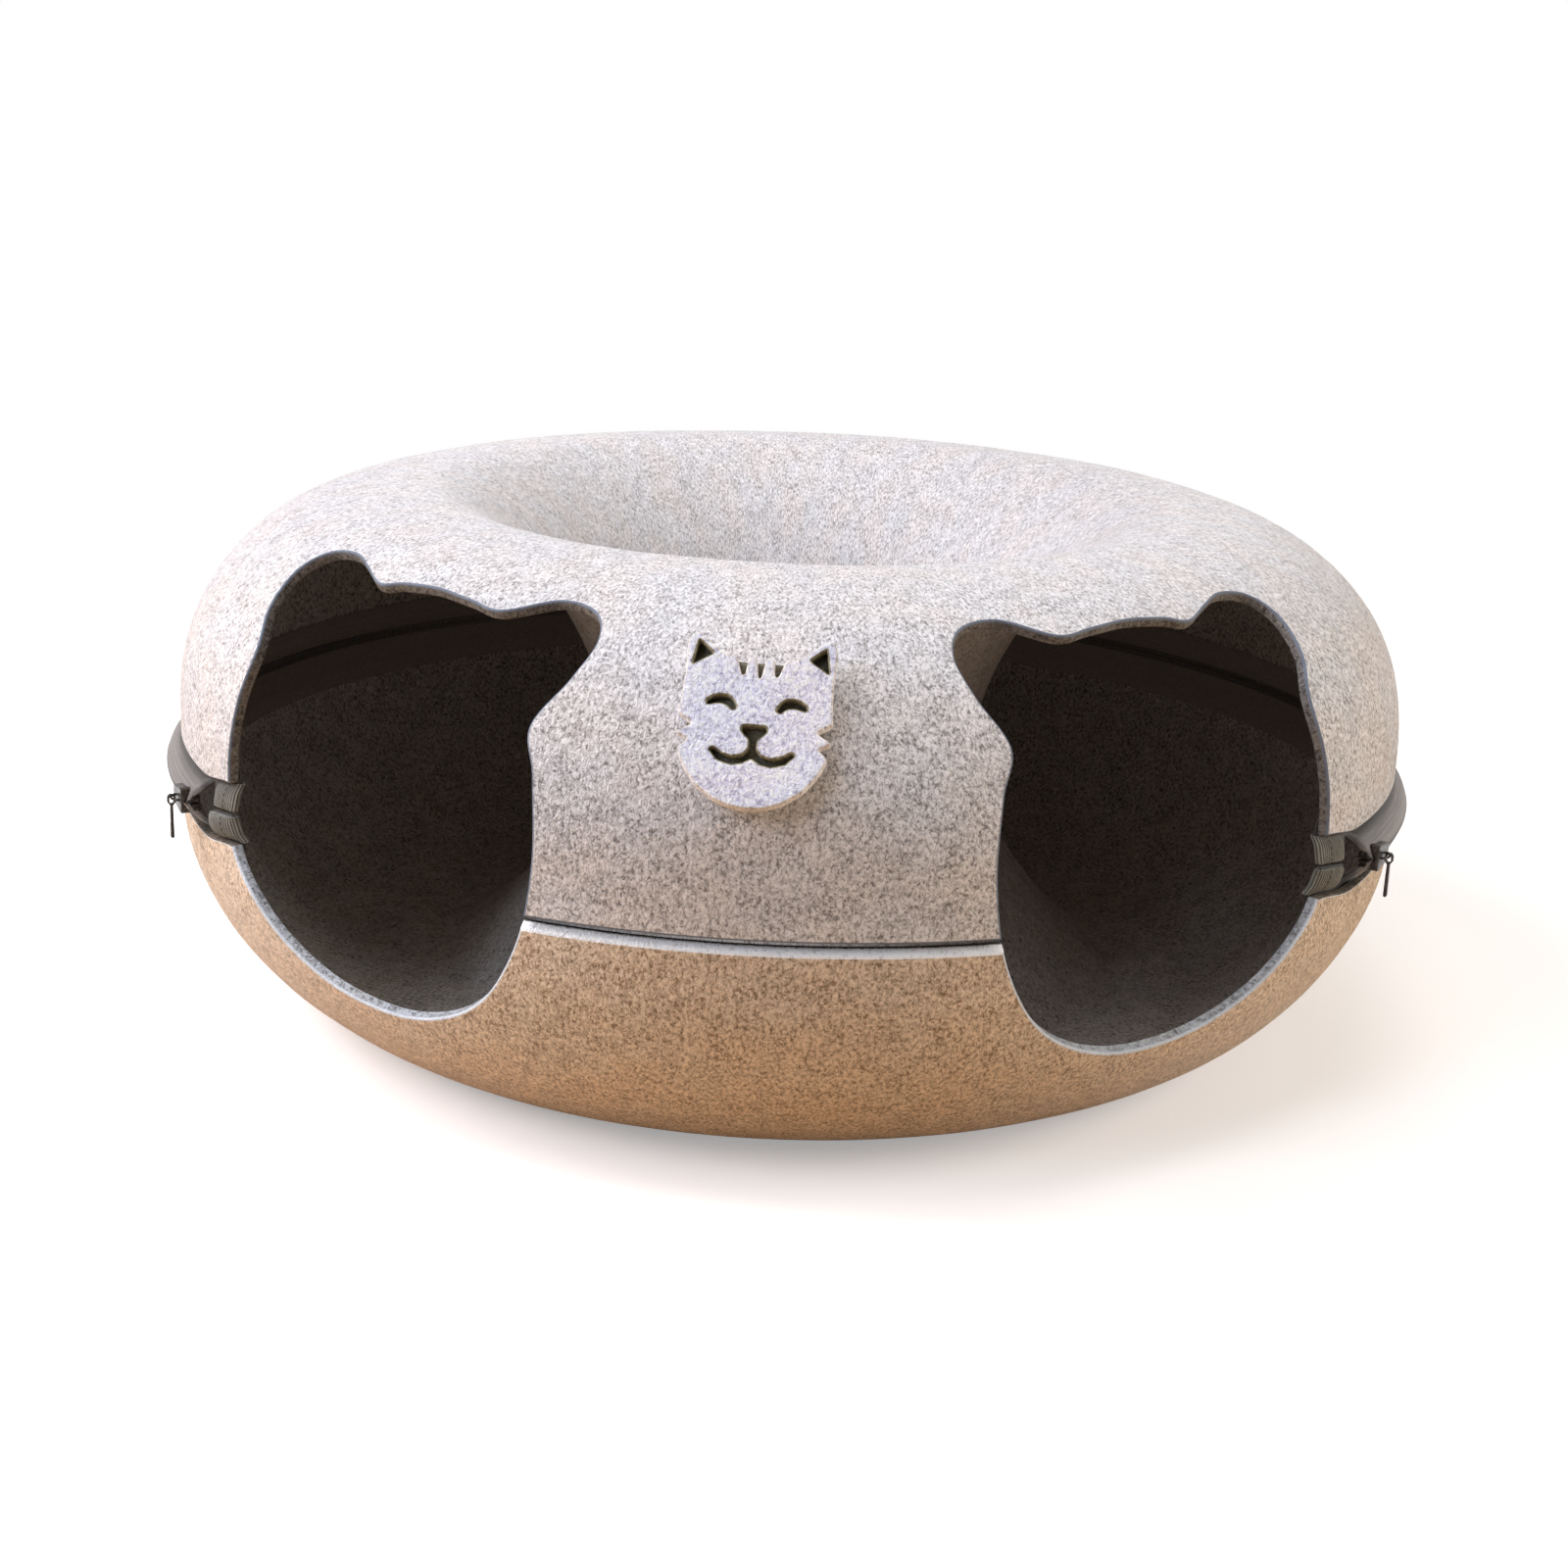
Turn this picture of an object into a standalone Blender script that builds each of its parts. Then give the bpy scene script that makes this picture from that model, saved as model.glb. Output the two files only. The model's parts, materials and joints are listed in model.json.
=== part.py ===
"""Felt cat tunnel: two moulded felt half shells, closed round the outside by a zip.

Sizes are in metres, +Z up. The origin is on the ring's axis at floor level and the front faces -Y.
An angle round the ring starts at the front and grows towards +X. A stand-off is a distance outwards
from the felt's outer wall, and a height on the zip is counted from the split between the shells.
"""
import math

import bmesh
import bpy
from mathutils import Matrix, Vector

# The ring
OUTER_RADIUS = 0.300
HEIGHT = 0.2445
HOLE_RADIUS = 0.090
CREST_RADIUS = 0.181
BASE_OUTER_RADIUS = 0.215
BASE_INNER_RADIUS = 0.172
SPLIT_HEIGHT = 0.117
FELT = 0.005
CLEARANCE = 0.0003

# The section's straight walls, and how full its rounded quarters are
OUTER_TOP_LAND = 0.025
OUTER_BOTTOM_LAND = 0.022
HOLE_LAND = 0.011
OUTER_TOP_FULLNESS = 2.25
OUTER_BOTTOM_FULLNESS = 1.65
HOLE_TOP_FULLNESS = 1.62
HOLE_BOTTOM_FULLNESS = 1.35
RING_STEPS = 80
STATION_MARGIN_SHARE = 0.1
OUTER_TOP_STEPS = 7
OUTER_BOTTOM_STEPS = 5
HOLE_STEPS = 5
WALL_SAMPLES = 60

# The open split across the front pillar, and how far the rims are set back for the zip
SPLIT_GAP = 0.0052
RIM_SLANT = 0.0015
RIM_SET_BACK = 0.014
RIM_CUT_STEPS = 18
ZIP_RISE = 0.005
RISE_STEPS = 4
RISE_START_ANGLE = math.radians(59.4)
RISE_END_ANGLE = math.radians(52.0)

# The doorways: places are shares of the half angle across and of the wall's arc up or down
DOOR_ANGLE = math.radians(36.0)
DOOR_HALF_ANGLE = math.radians(20.5)
DOOR_STEPS = 2
DOOR_OUTLINE_SHARES = (
    (0.19, -0.385), (0.46, -0.338), (0.68, -0.235), (0.82, -0.075), (0.89, 0.130), (0.87, 0.290),
    (0.82, 0.390), (0.93, 0.500), (0.98, 0.600), (0.90, 0.678), (0.70, 0.700), (0.45, 0.641),
    (0.25, 0.655), (0.02, 0.669), (-0.20, 0.659), (-0.34, 0.640), (-0.55, 0.675), (-0.75, 0.699),
    (-0.93, 0.676), (-0.99, 0.605), (-0.92, 0.500), (-0.79, 0.400), (-0.79, 0.270), (-0.82, 0.080),
    (-0.79, -0.060), (-0.63, -0.165), (-0.42, -0.275), (-0.14, -0.362),
)
CUT_OVERRUN = 0.010
CUT_FAR_RADIUS = 2.0 * OUTER_RADIUS

# The zip tape, sewn behind the rims and bulging out between them
TAPE = 0.0008
TAPE_HEM = 0.006
TAPE_HEM_DROP = 0.0005
TAPE_SHOULDER_HEIGHT = 0.0095
TAPE_SHOULDER = 0.0004
TAPE_BROW_HEIGHT = 0.0045
TAPE_BROW = 0.0050
TAPE_RIDGE = 0.0070
SLOT = 0.0011
TAPE_OPEN_HEIGHT = 0.0010
TAPE_OPEN_STAND_OFF = -0.0015
OPEN_SHOULDER_SHARE = 0.5
OPEN_BROW_SHARE = 0.8
TAPE_DIP = 0.008
PARTED_HEIGHT = 0.0065
PARTED_STAND_OFF = -0.0030
PARTED_SHARES = (0.6, 0.3, 0.0)
TAPE_END_INSET = 0.0006

# The coil on the tape's inner side, and the stop at each of its ends
COIL_WIDTH = 0.0028
COIL_DEPTH = 0.0031
COIL_ROUNDING = 0.0005
STOP = 0.0022
STOP_DEPTH = 0.0050
STOP_PLAY = 0.0010

# The sliders
SLIDER_ANGLE = math.radians(61.8)
SLIDER_LENGTH = 0.016
SLIDER_HALF_WIDTH = 0.006
SLIDER_ROUNDING = 0.0005
SLIDER_OUTLINE_SHARES = ((-1.0, 0.50), (-0.85, 0.76), (0.0, 0.86), (0.62, 1.0), (0.88, 0.96), (1.0, 0.70))
FRONT_PLATE = 0.0012
FRONT_PLAY = 0.00045
BACK_PLATE = 0.0011
BACK_PLAY = 0.0007
BACK_HALF_WIDTH = 0.0046
BACK_FLANGE = 0.0006
POST = 0.0005
POST_LENGTH = 0.003
POST_CENTRE = 0.0045

# The bail over each slider's front, and the puller that hangs on it
BAIL_WIRE = 0.0012
BAIL_SPAN = 0.0092
BAIL_RISE = 0.0027
BAIL_STEPS = 10
PULLER_THICKNESS = 0.0016
PULLER_EYE_HALF_WIDTH = 0.0019
PULLER_EYE_RISE = 0.0019
PULLER_EYE_DROP = 0.0036
PULLER_EYE_HOLE = 0.0010
PULLER_HOLE_DROP = 0.0026
PULLER_STEM_HALF_WIDTH = 0.0006
PULLER_FOOT_HALF_WIDTH = 0.0008
PULLER_LENGTH = 0.0190
PULLER_CURVE_STEPS = 6

# The folded twill tabs over the tape's ends
TAB = 0.0012
TAB_LENGTH = 0.022
TAB_INNER_LENGTH = 0.018
TAB_CORNER = 0.004
TAB_FOLD = 0.0020
TAB_CORNER_SHARE = 0.3
TAB_SPACING = math.radians(1.6)

# The tape that joins the shells round the hole
HOLE_TAPE = 0.0010
HOLE_TAPE_HEIGHT = 0.018

# The badge on the pillar and the pad behind it
BADGE = 0.0050
BADGE_HALF_WIDTH = 0.0302
BADGE_ANGLE = math.radians(-1.1)
BADGE_UP_SHARE = 0.425
BADGE_TILT = math.radians(-2.0)
BADGE_STAND_OFF = 0.0016
PAD_HALF_WIDTH = 0.014
PAD_REACH_SHARE = 0.075
PAD_STATIONS = 5

# Points of the badge's right half from the chin up, in shares of its half width
BADGE_OUTLINE_SHARES = (
    (0.0, -1.11), (0.22, -1.09), (0.44, -1.01), (0.68, -0.84), (0.84, -0.63), (0.92, -0.48), (0.96, -0.38),
    (0.83, -0.25), (1.0, -0.17), (0.79, -0.04), (0.99, 0.09), (0.96, 0.38), (0.95, 0.64), (0.965, 1.03),
    (0.94, 1.15), (0.85, 1.21), (0.74, 1.14), (0.47, 0.92), (0.315, 0.915), (0.235, 0.66), (0.19, 0.67),
    (0.17, 0.91), (0.06, 0.905), (0.015, 0.63),
)
BADGE_EAR_SHARES = ((0.82, 1.10), (0.62, 0.93), (0.88, 0.76))
BADGE_EYE_SHARES = (
    (0.25, 0.21), (0.30, 0.31), (0.37, 0.37), (0.47, 0.38), (0.57, 0.35), (0.65, 0.29), (0.63, 0.23),
    (0.54, 0.26), (0.46, 0.27), (0.38, 0.25), (0.31, 0.18),
)
BADGE_MOUTH_SHARES = (
    (0.0, -0.01), (0.14, -0.01), (0.17, -0.05), (0.15, -0.10), (0.05, -0.19), (0.04, -0.32), (0.12, -0.41),
    (0.25, -0.44), (0.38, -0.41), (0.50, -0.33), (0.55, -0.36), (0.43, -0.49), (0.26, -0.54),
    (0.12, -0.515), (0.0, -0.44),
)

# How far a ring's flat facets fall inside its true circle
FACET_SAG = OUTER_RADIUS * (1.0 - math.cos(math.pi / RING_STEPS))
SLOT_HALF = SLOT / 2.0


def clear_scene():
    for thing in list(bpy.data.objects):
        bpy.data.objects.remove(thing, do_unlink=True)


def make_collection(name):
    made = bpy.data.collections.new(name)
    bpy.context.scene.collection.children.link(made)
    return made


clear_scene()
PARTS = make_collection("felt_cat_tunnel")
CUTTERS = make_collection("cutters")


def make_material(name, colour, roughness, metallic=0.0):
    material = bpy.data.materials.new(name)
    material.use_nodes = True
    shader = material.node_tree.nodes["Principled BSDF"]
    shader.inputs["Base Color"].default_value = (*colour, 1.0)
    shader.inputs["Roughness"].default_value = roughness
    shader.inputs["Metallic"].default_value = metallic
    return material


FELT_GREY = make_material("felt_grey", (0.52, 0.49, 0.50), 0.95)
BADGE_FELT = make_material("badge_felt", (0.58, 0.58, 0.68), 0.95)
TAPE_GREY = make_material("tape_grey", (0.16, 0.15, 0.15), 0.70)
TWILL_GREY = make_material("twill_grey", (0.13, 0.13, 0.12), 0.85)
COIL_DARK = make_material("coil_dark", (0.04, 0.04, 0.04), 0.45)
GUNMETAL = make_material("gunmetal", (0.10, 0.09, 0.08), 0.35, 1.0)
PAD_DARK = make_material("pad_dark", (0.05, 0.05, 0.05), 0.90)


def ring_point(angle, radius, z):
    """The point at an angle round the ring."""
    return Vector((radius * math.sin(angle), -radius * math.cos(angle), z))


def zip_rise(angle):
    """How far the zip's ends climb towards the doorways."""
    turn = abs((angle + math.pi) % math.tau - math.pi)
    share = min(max((RISE_START_ANGLE - turn) / (RISE_START_ANGLE - RISE_END_ANGLE), 0.0), 1.0)
    return ZIP_RISE * share * share * (3.0 - 2.0 * share)


def zip_point(angle, height, stand_off):
    """The point beside the outer wall, at a height on the zip."""
    return ring_point(angle, OUTER_RADIUS + stand_off, SPLIT_HEIGHT + zip_rise(angle) + height)


def along_ring(length):
    """The angle that a length takes along the outer wall."""
    return length / OUTER_RADIUS


def blend(first, second, share):
    return first + (second - first) * share


def quarter(centre, reach, fullness, steps):
    """A rounded quarter of the section, from its widest point to its top or bottom."""
    points = []
    for step in range(steps + 1):
        turn = step / steps * math.pi / 2.0
        across = max(math.cos(turn), 0.0) ** (2.0 / fullness)
        up = math.sin(turn) ** (2.0 / fullness)
        points.append((centre[0] + reach[0] * across, centre[1] + reach[1] * up))
    return points


def outer_wall(upwards, steps):
    """The outer wall from the end of its straight land to the crest or to the flat base."""
    if upwards:
        centre = (CREST_RADIUS, SPLIT_HEIGHT + OUTER_TOP_LAND)
        reach = (OUTER_RADIUS - CREST_RADIUS, HEIGHT - centre[1])
        return quarter(centre, reach, OUTER_TOP_FULLNESS, steps)
    centre = (BASE_OUTER_RADIUS, SPLIT_HEIGHT - OUTER_BOTTOM_LAND)
    reach = (OUTER_RADIUS - BASE_OUTER_RADIUS, -centre[1])
    return quarter(centre, reach, OUTER_BOTTOM_FULLNESS, steps)


def hole_wall(upwards, steps):
    """The wall of the middle hole from the end of its land to the crest or to the flat base."""
    if upwards:
        centre = (CREST_RADIUS, SPLIT_HEIGHT + HOLE_LAND)
        reach = (HOLE_RADIUS - CREST_RADIUS, HEIGHT - centre[1])
        return quarter(centre, reach, HOLE_TOP_FULLNESS, steps)
    centre = (BASE_INNER_RADIUS, SPLIT_HEIGHT - HOLE_LAND)
    reach = (HOLE_RADIUS - BASE_INNER_RADIUS, -centre[1])
    return quarter(centre, reach, HOLE_BOTTOM_FULLNESS, steps)


def offset_line(points, distance):
    """The open line moved to its left by a distance, with its corners mitred."""
    vectors = [Vector(point) for point in points]
    sides = []
    for start, end in zip(vectors, vectors[1:]):
        run = (end - start).normalized()
        sides.append(Vector((-run.y, run.x)))
    moved = []
    for index, point in enumerate(vectors):
        before = sides[max(index - 1, 0)]
        after = sides[min(index, len(sides) - 1)]
        middle = (before + after).normalized()
        moved.append(point + middle * (distance / middle.dot(before)))
    return [(point.x, point.y) for point in moved]


def wall_place(up_share):
    """Radius, height and outward direction of the outer wall, at a share of its arc from the split."""
    upwards = up_share >= 0.0
    line = [(OUTER_RADIUS, SPLIT_HEIGHT)] + outer_wall(upwards, WALL_SAMPLES)
    vectors = [Vector(point) for point in line]
    lengths = [(end - start).length for start, end in zip(vectors, vectors[1:])]
    left = abs(up_share) * sum(lengths)
    index = 0
    while left > lengths[index] and index < len(lengths) - 1:
        left -= lengths[index]
        index += 1
    run = (vectors[index + 1] - vectors[index]).normalized()
    place = vectors[index] + run * left
    outward = Vector((run.y, -run.x)) if upwards else Vector((-run.y, run.x))
    return place, outward


def link(thing, collection=None):
    (collection or PARTS).objects.link(thing)
    return thing


def as_cutter(thing):
    for collection in list(thing.users_collection):
        collection.objects.unlink(thing)
    CUTTERS.objects.link(thing)
    thing.hide_render = True
    thing.display_type = "WIRE"
    return thing


def mesh_object(name, mesh, material=None):
    if material is not None:
        mesh.materials.append(material)
    return link(bpy.data.objects.new(name, mesh))


def loft(name, rings, material=None, paired=False):
    """A closed solid through closed sections that all have the same number of points.

    The ends of a thin strip are paired: each is closed by small faces between its two sides.
    """
    body = bmesh.new()
    rows = [[body.verts.new(point) for point in ring] for ring in rings]
    count = len(rows[0])
    for row, after in zip(rows, rows[1:]):
        for index in range(count):
            following = (index + 1) % count
            body.faces.new((row[index], row[following], after[following], after[index]))
    for row in (rows[0][::-1], rows[-1]):
        if paired:
            for index in range(count // 2 - 1):
                body.faces.new((row[index], row[index + 1], row[count - 2 - index], row[count - 1 - index]))
        else:
            body.faces.new(row)
    bmesh.ops.recalc_face_normals(body, faces=body.faces)
    mesh = bpy.data.meshes.new(name)
    body.to_mesh(mesh)
    body.free()
    return mesh_object(name, mesh, material)


def turned(name, profile, material=None):
    """A ring turned from a closed profile of radius and height."""
    body = bmesh.new()
    verts = [body.verts.new((radius, 0.0, z)) for radius, z in profile]
    for index, vert in enumerate(verts):
        body.edges.new((vert, verts[(index + 1) % len(verts)]))
    mesh = bpy.data.meshes.new(name)
    body.to_mesh(mesh)
    body.free()
    ring = mesh_object(name, mesh, material)
    screw = ring.modifiers.new("turn", "SCREW")
    screw.axis = "Z"
    screw.angle = math.tau
    screw.steps = RING_STEPS
    screw.render_steps = RING_STEPS
    screw.use_merge_vertices = True
    screw.merge_threshold = CLEARANCE / 10.0
    screw.use_smooth_shade = True
    return ring


def boolean(thing, other, operation="DIFFERENCE"):
    modifier = thing.modifiers.new(operation.lower(), "BOOLEAN")
    modifier.operation = operation
    modifier.object = other
    modifier.solver = "EXACT"


def flat_outline(name, outlines, thickness):
    """A flat plate in its local XY plane from an outline and the outlines of its holes."""
    curve = bpy.data.curves.new(name, "CURVE")
    curve.dimensions = "2D"
    curve.fill_mode = "BOTH"
    curve.extrude = thickness / 2.0
    for outline in outlines:
        spline = curve.splines.new("POLY")
        spline.points.add(len(outline) - 1)
        for point, place in zip(spline.points, outline):
            point.co = (place[0], place[1], 0.0, 1.0)
        spline.use_cyclic_u = True
    return curve_to_mesh(name, curve)


def curve_to_mesh(name, curve):
    """A mesh object made from a curve, with its loose caps welded."""
    made = link(bpy.data.objects.new(name + "_curve", curve))
    bpy.context.view_layer.update()
    evaluated = made.evaluated_get(bpy.context.evaluated_depsgraph_get())
    mesh = bpy.data.meshes.new_from_object(evaluated)
    mesh.name = name
    body = bmesh.new()
    body.from_mesh(mesh)
    bmesh.ops.remove_doubles(body, verts=body.verts, dist=CLEARANCE / 10.0)
    bmesh.ops.recalc_face_normals(body, faces=body.faces)
    body.to_mesh(mesh)
    body.free()
    bpy.data.objects.remove(made, do_unlink=True)
    return mesh_object(name, mesh)


def smooth_loop(points, steps):
    """A closed loop through hand-placed points, rounded between them."""
    loop = []
    count = len(points)
    for index in range(count):
        before, start, end, after = (Vector(points[(index + shift) % count]) for shift in (-1, 0, 1, 2))
        for step in range(steps):
            t = step / steps
            pull = (end - before) / 2.0
            push = (after - start) / 2.0
            place = start * (2.0 * t ** 3 - 3.0 * t ** 2 + 1.0) + pull * (t ** 3 - 2.0 * t ** 2 + t)
            place += end * (3.0 * t ** 2 - 2.0 * t ** 3) + push * (t ** 3 - t ** 2)
            loop.append((place.x, place.y))
    return loop


DOOR_OUTLINE = smooth_loop(DOOR_OUTLINE_SHARES, DOOR_STEPS)


def door_angle(side, across_share):
    """The angle of a doorway's point, where a positive share lies towards the pillar."""
    return side * (DOOR_ANGLE - across_share * DOOR_HALF_ANGLE)


def door_edge_angle(height):
    """How far round the ring a doorway reaches on its side away from the pillar, at a height on the zip."""
    crossings = []
    level = SPLIT_HEIGHT + zip_rise(RISE_END_ANGLE) + height
    for start, end in zip(DOOR_OUTLINE, DOOR_OUTLINE[1:] + DOOR_OUTLINE[:1]):
        low, high = wall_place(start[1])[0].y, wall_place(end[1])[0].y
        if (low - level) * (high - level) <= 0.0 and low != high:
            crossings.append(blend(start[0], end[0], (level - low) / (high - low)))
    return DOOR_ANGLE - min(crossings) * DOOR_HALF_ANGLE


def make_door_cutter(side):
    """A doorway's cutter, square to the felt, from inside the tunnel to a point far outside."""
    name = "door_cutter_left" if side < 0 else "door_cutter_right"
    body = bmesh.new()
    inner = []
    outer = []
    for across, up in DOOR_OUTLINE:
        place, outward = wall_place(up)
        angle = door_angle(side, across)
        near = place - outward * (FELT + CUT_OVERRUN)
        far = place + outward * CUT_OVERRUN
        inner.append(body.verts.new(ring_point(angle, near.x, near.y)))
        outer.append(body.verts.new(ring_point(angle, far.x, far.y)))
    heart_radius = (CREST_RADIUS + OUTER_RADIUS) / 2.0
    heart = body.verts.new(ring_point(side * DOOR_ANGLE, heart_radius - CUT_OVERRUN, SPLIT_HEIGHT))
    apex = body.verts.new(ring_point(side * DOOR_ANGLE, CUT_FAR_RADIUS, HEIGHT))
    count = len(inner)
    for index in range(count):
        following = (index + 1) % count
        body.faces.new((inner[index], inner[following], outer[following], outer[index]))
        body.faces.new((inner[following], inner[index], heart))
        body.faces.new((outer[index], outer[following], apex))
    bmesh.ops.recalc_face_normals(body, faces=body.faces)
    mesh = bpy.data.meshes.new(name)
    body.to_mesh(mesh)
    body.free()
    return as_cutter(mesh_object(name, mesh))


def make_rim_cutter():
    """The band that sets both rims back for the zip, from one doorway round the back to the other."""
    near, far = -FELT - CUT_OVERRUN, CUT_OVERRUN
    section = ((-RIM_SET_BACK, near), (-RIM_SET_BACK, far), (RIM_SET_BACK, far), (RIM_SET_BACK, near))
    climb = [blend(RISE_END_ANGLE, RISE_START_ANGLE, step / RISE_STEPS) for step in range(RISE_STEPS)]
    back = math.tau - RISE_START_ANGLE
    angles = [DOOR_ANGLE] + climb
    angles += [blend(RISE_START_ANGLE, back, step / RIM_CUT_STEPS) for step in range(RIM_CUT_STEPS + 1)]
    angles += [math.tau - angle for angle in reversed([DOOR_ANGLE] + climb)]
    rings = [[zip_point(angle, height, stand_off) for height, stand_off in section] for angle in angles]
    return as_cutter(loft("rim_cutter", rings))


def make_shells(cutters):
    """The two moulded half shells, cut by the doorways and set back for the zip."""
    outer = [(OUTER_RADIUS, SPLIT_HEIGHT + SPLIT_GAP / 2.0)] + outer_wall(True, OUTER_TOP_STEPS)
    hole = hole_wall(True, HOLE_STEPS)[:-1] + [(HOLE_RADIUS, SPLIT_HEIGHT + CLEARANCE / 2.0)]
    hole = [hole[-1]] + hole[:-1]
    over = hole + outer[::-1]
    under = offset_line(over, -FELT)
    top = turned("top_shell", over + under[::-1], FELT_GREY)

    outer = [(OUTER_RADIUS, SPLIT_HEIGHT - SPLIT_GAP / 2.0)] + outer_wall(False, OUTER_BOTTOM_STEPS)
    hole = [(HOLE_RADIUS, SPLIT_HEIGHT - CLEARANCE / 2.0)] + hole_wall(False, HOLE_STEPS)
    below = outer + hole[::-1]
    above = offset_line(below, -FELT)
    above[0] = (above[0][0], above[0][1] + RIM_SLANT)
    bottom = turned("bottom_shell", below + above[::-1], FELT_GREY)
    for shell in (top, bottom):
        for cutter in cutters:
            boolean(shell, cutter)


def make_hole_tape():
    """The tape that holds both shells together round the middle hole, on the tunnel's side."""
    near = HOLE_RADIUS + FELT + CLEARANCE
    low, high = SPLIT_HEIGHT - HOLE_TAPE_HEIGHT / 2.0, SPLIT_HEIGHT + HOLE_TAPE_HEIGHT / 2.0
    profile = ((near, low), (near, high), (near + HOLE_TAPE, high), (near + HOLE_TAPE, low))
    turned("hole_seam_tape", profile, TWILL_GREY)


# Half of the closed tape's outer face, from its sewn hem to the ridge, as height and stand-off
HEM_STAND_OFF = -(FELT + CLEARANCE + FACET_SAG)
TAPE_FACE = (
    (RIM_SET_BACK + TAPE_HEM, HEM_STAND_OFF),
    (RIM_SET_BACK - TAPE_HEM_DROP, HEM_STAND_OFF),
    (TAPE_SHOULDER_HEIGHT, TAPE_SHOULDER),
    (TAPE_BROW_HEIGHT, TAPE_BROW),
    (SLOT_HALF, TAPE_RIDGE),
)
# The same face where the halves part in front of the slider
TAPE_PARTED_FACE = TAPE_FACE[:2] + tuple(
    (blend(PARTED_HEIGHT, RIM_SET_BACK, share), blend(PARTED_STAND_OFF, HEM_STAND_OFF, share))
    for share in PARTED_SHARES
)
# The same face where the zip is open at its end, flat under the tab
TAPE_OPEN_FACE = (
    TAPE_FACE[0],
    TAPE_FACE[1],
    (TAPE_SHOULDER_HEIGHT, blend(HEM_STAND_OFF, TAPE_OPEN_STAND_OFF, OPEN_SHOULDER_SHARE)),
    (TAPE_BROW_HEIGHT, blend(HEM_STAND_OFF, TAPE_OPEN_STAND_OFF, OPEN_BROW_SHARE)),
    (TAPE_OPEN_HEIGHT, TAPE_OPEN_STAND_OFF),
)


def inner_face(outside):
    """The tape's inner face behind an outer one, with the edge beside the slot cut upright."""
    inside = offset_line(outside, TAPE)
    (high, low_side), (low, high_side) = inside[-2], inside[-1]
    edge = outside[-1][0]
    inside[-1] = (edge, blend(high_side, low_side, (edge - low) / (high - low)))
    return inside


# Places along the zip's ends, as angles from the front
MOUTH_ANGLE = SLIDER_ANGLE - along_ring(SLIDER_LENGTH / 2.0)
COIL_END_ANGLE = MOUTH_ANGLE - along_ring(STOP_PLAY)
STOP_END_ANGLE = COIL_END_ANGLE - along_ring(CLEARANCE + STOP)
DIP_START_ANGLE = STOP_END_ANGLE - along_ring(STOP_PLAY)
DIP_END_ANGLE = DIP_START_ANGLE - along_ring(TAPE_DIP)
PARTED_ANGLE = (DIP_START_ANGLE + DIP_END_ANGLE) / 2.0
OPEN_ANGLE = math.floor(DIP_END_ANGLE * RING_STEPS / math.tau) * math.tau / RING_STEPS


def zip_angles(start):
    """Angles from one end of the zip round the back to the other, on the shells' own facets."""
    step = math.tau / RING_STEPS
    first = math.ceil(start / step + STATION_MARGIN_SHARE)
    angles = [start]
    angles += [index * step for index in range(first, RING_STEPS - first + 1)]
    angles.append(math.tau - start)
    return angles


def make_tape(name, side):
    """One half of the zip tape, above the split or below it."""
    shut = [DIP_START_ANGLE] + zip_angles(COIL_END_ANGLE) + [math.tau - DIP_START_ANGLE]
    ends = [(None, TAPE_OPEN_FACE), (OPEN_ANGLE, TAPE_OPEN_FACE), (DIP_END_ANGLE, TAPE_OPEN_FACE)]
    ends.append((PARTED_ANGLE, TAPE_PARTED_FACE))
    stations = ends + [(angle, TAPE_FACE) for angle in shut]
    stations += [(math.tau - angle, face) for angle, face in reversed(ends[1:])] + ends[:1]
    rings = []
    for index, (angle, face) in enumerate(stations):
        ring = []
        for height, stand_off in list(face) + inner_face(face)[::-1]:
            place = angle
            if place is None:
                place = door_edge_angle(side * height) + along_ring(TAPE_END_INSET)
                place = place if index == 0 else math.tau - place
            ring.append(zip_point(place, side * height, stand_off))
        rings.append(ring)
    return loft(name, rings, TAPE_GREY, paired=True)


def tape_underside(height):
    """Stand-off of the closed tape's inner face at a height near the ridge."""
    (high, low_side), (low, high_side) = inner_face(TAPE_FACE)[-2:]
    return blend(high_side, low_side, (height - low) / (high - low))


def make_coil(name, side):
    """One half of the zip's coil, a plain cord of the coil's outer size."""
    far = SLOT_HALF + COIL_WIDTH
    inner = TAPE_RIDGE - TAPE - COIL_DEPTH
    section = (
        (SLOT_HALF, tape_underside(SLOT_HALF) - CLEARANCE),
        (far, tape_underside(far) - CLEARANCE),
        (far, inner + COIL_ROUNDING),
        (far - COIL_ROUNDING, inner),
        (SLOT_HALF, inner),
    )
    rings = []
    for angle in zip_angles(COIL_END_ANGLE):
        rings.append([zip_point(angle, side * height, stand_off) for height, stand_off in section])
    loft(name, rings, COIL_DARK)


def make_stop(name, side, end):
    """A clip on the tape's edge just past the coil's end, which keeps the slider on the zip."""
    far = SLOT_HALF + COIL_WIDTH
    inner = TAPE_RIDGE - TAPE - STOP_DEPTH
    section = (
        (SLOT_HALF, tape_underside(SLOT_HALF) - CLEARANCE),
        (far, tape_underside(far) - CLEARANCE),
        (far, inner),
        (SLOT_HALF, inner),
    )
    rings = []
    for angle in (STOP_END_ANGLE, COIL_END_ANGLE - along_ring(CLEARANCE)):
        rings.append([zip_point(end * angle, side * height, stand_off) for height, stand_off in section])
    loft(name, rings, GUNMETAL)


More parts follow.
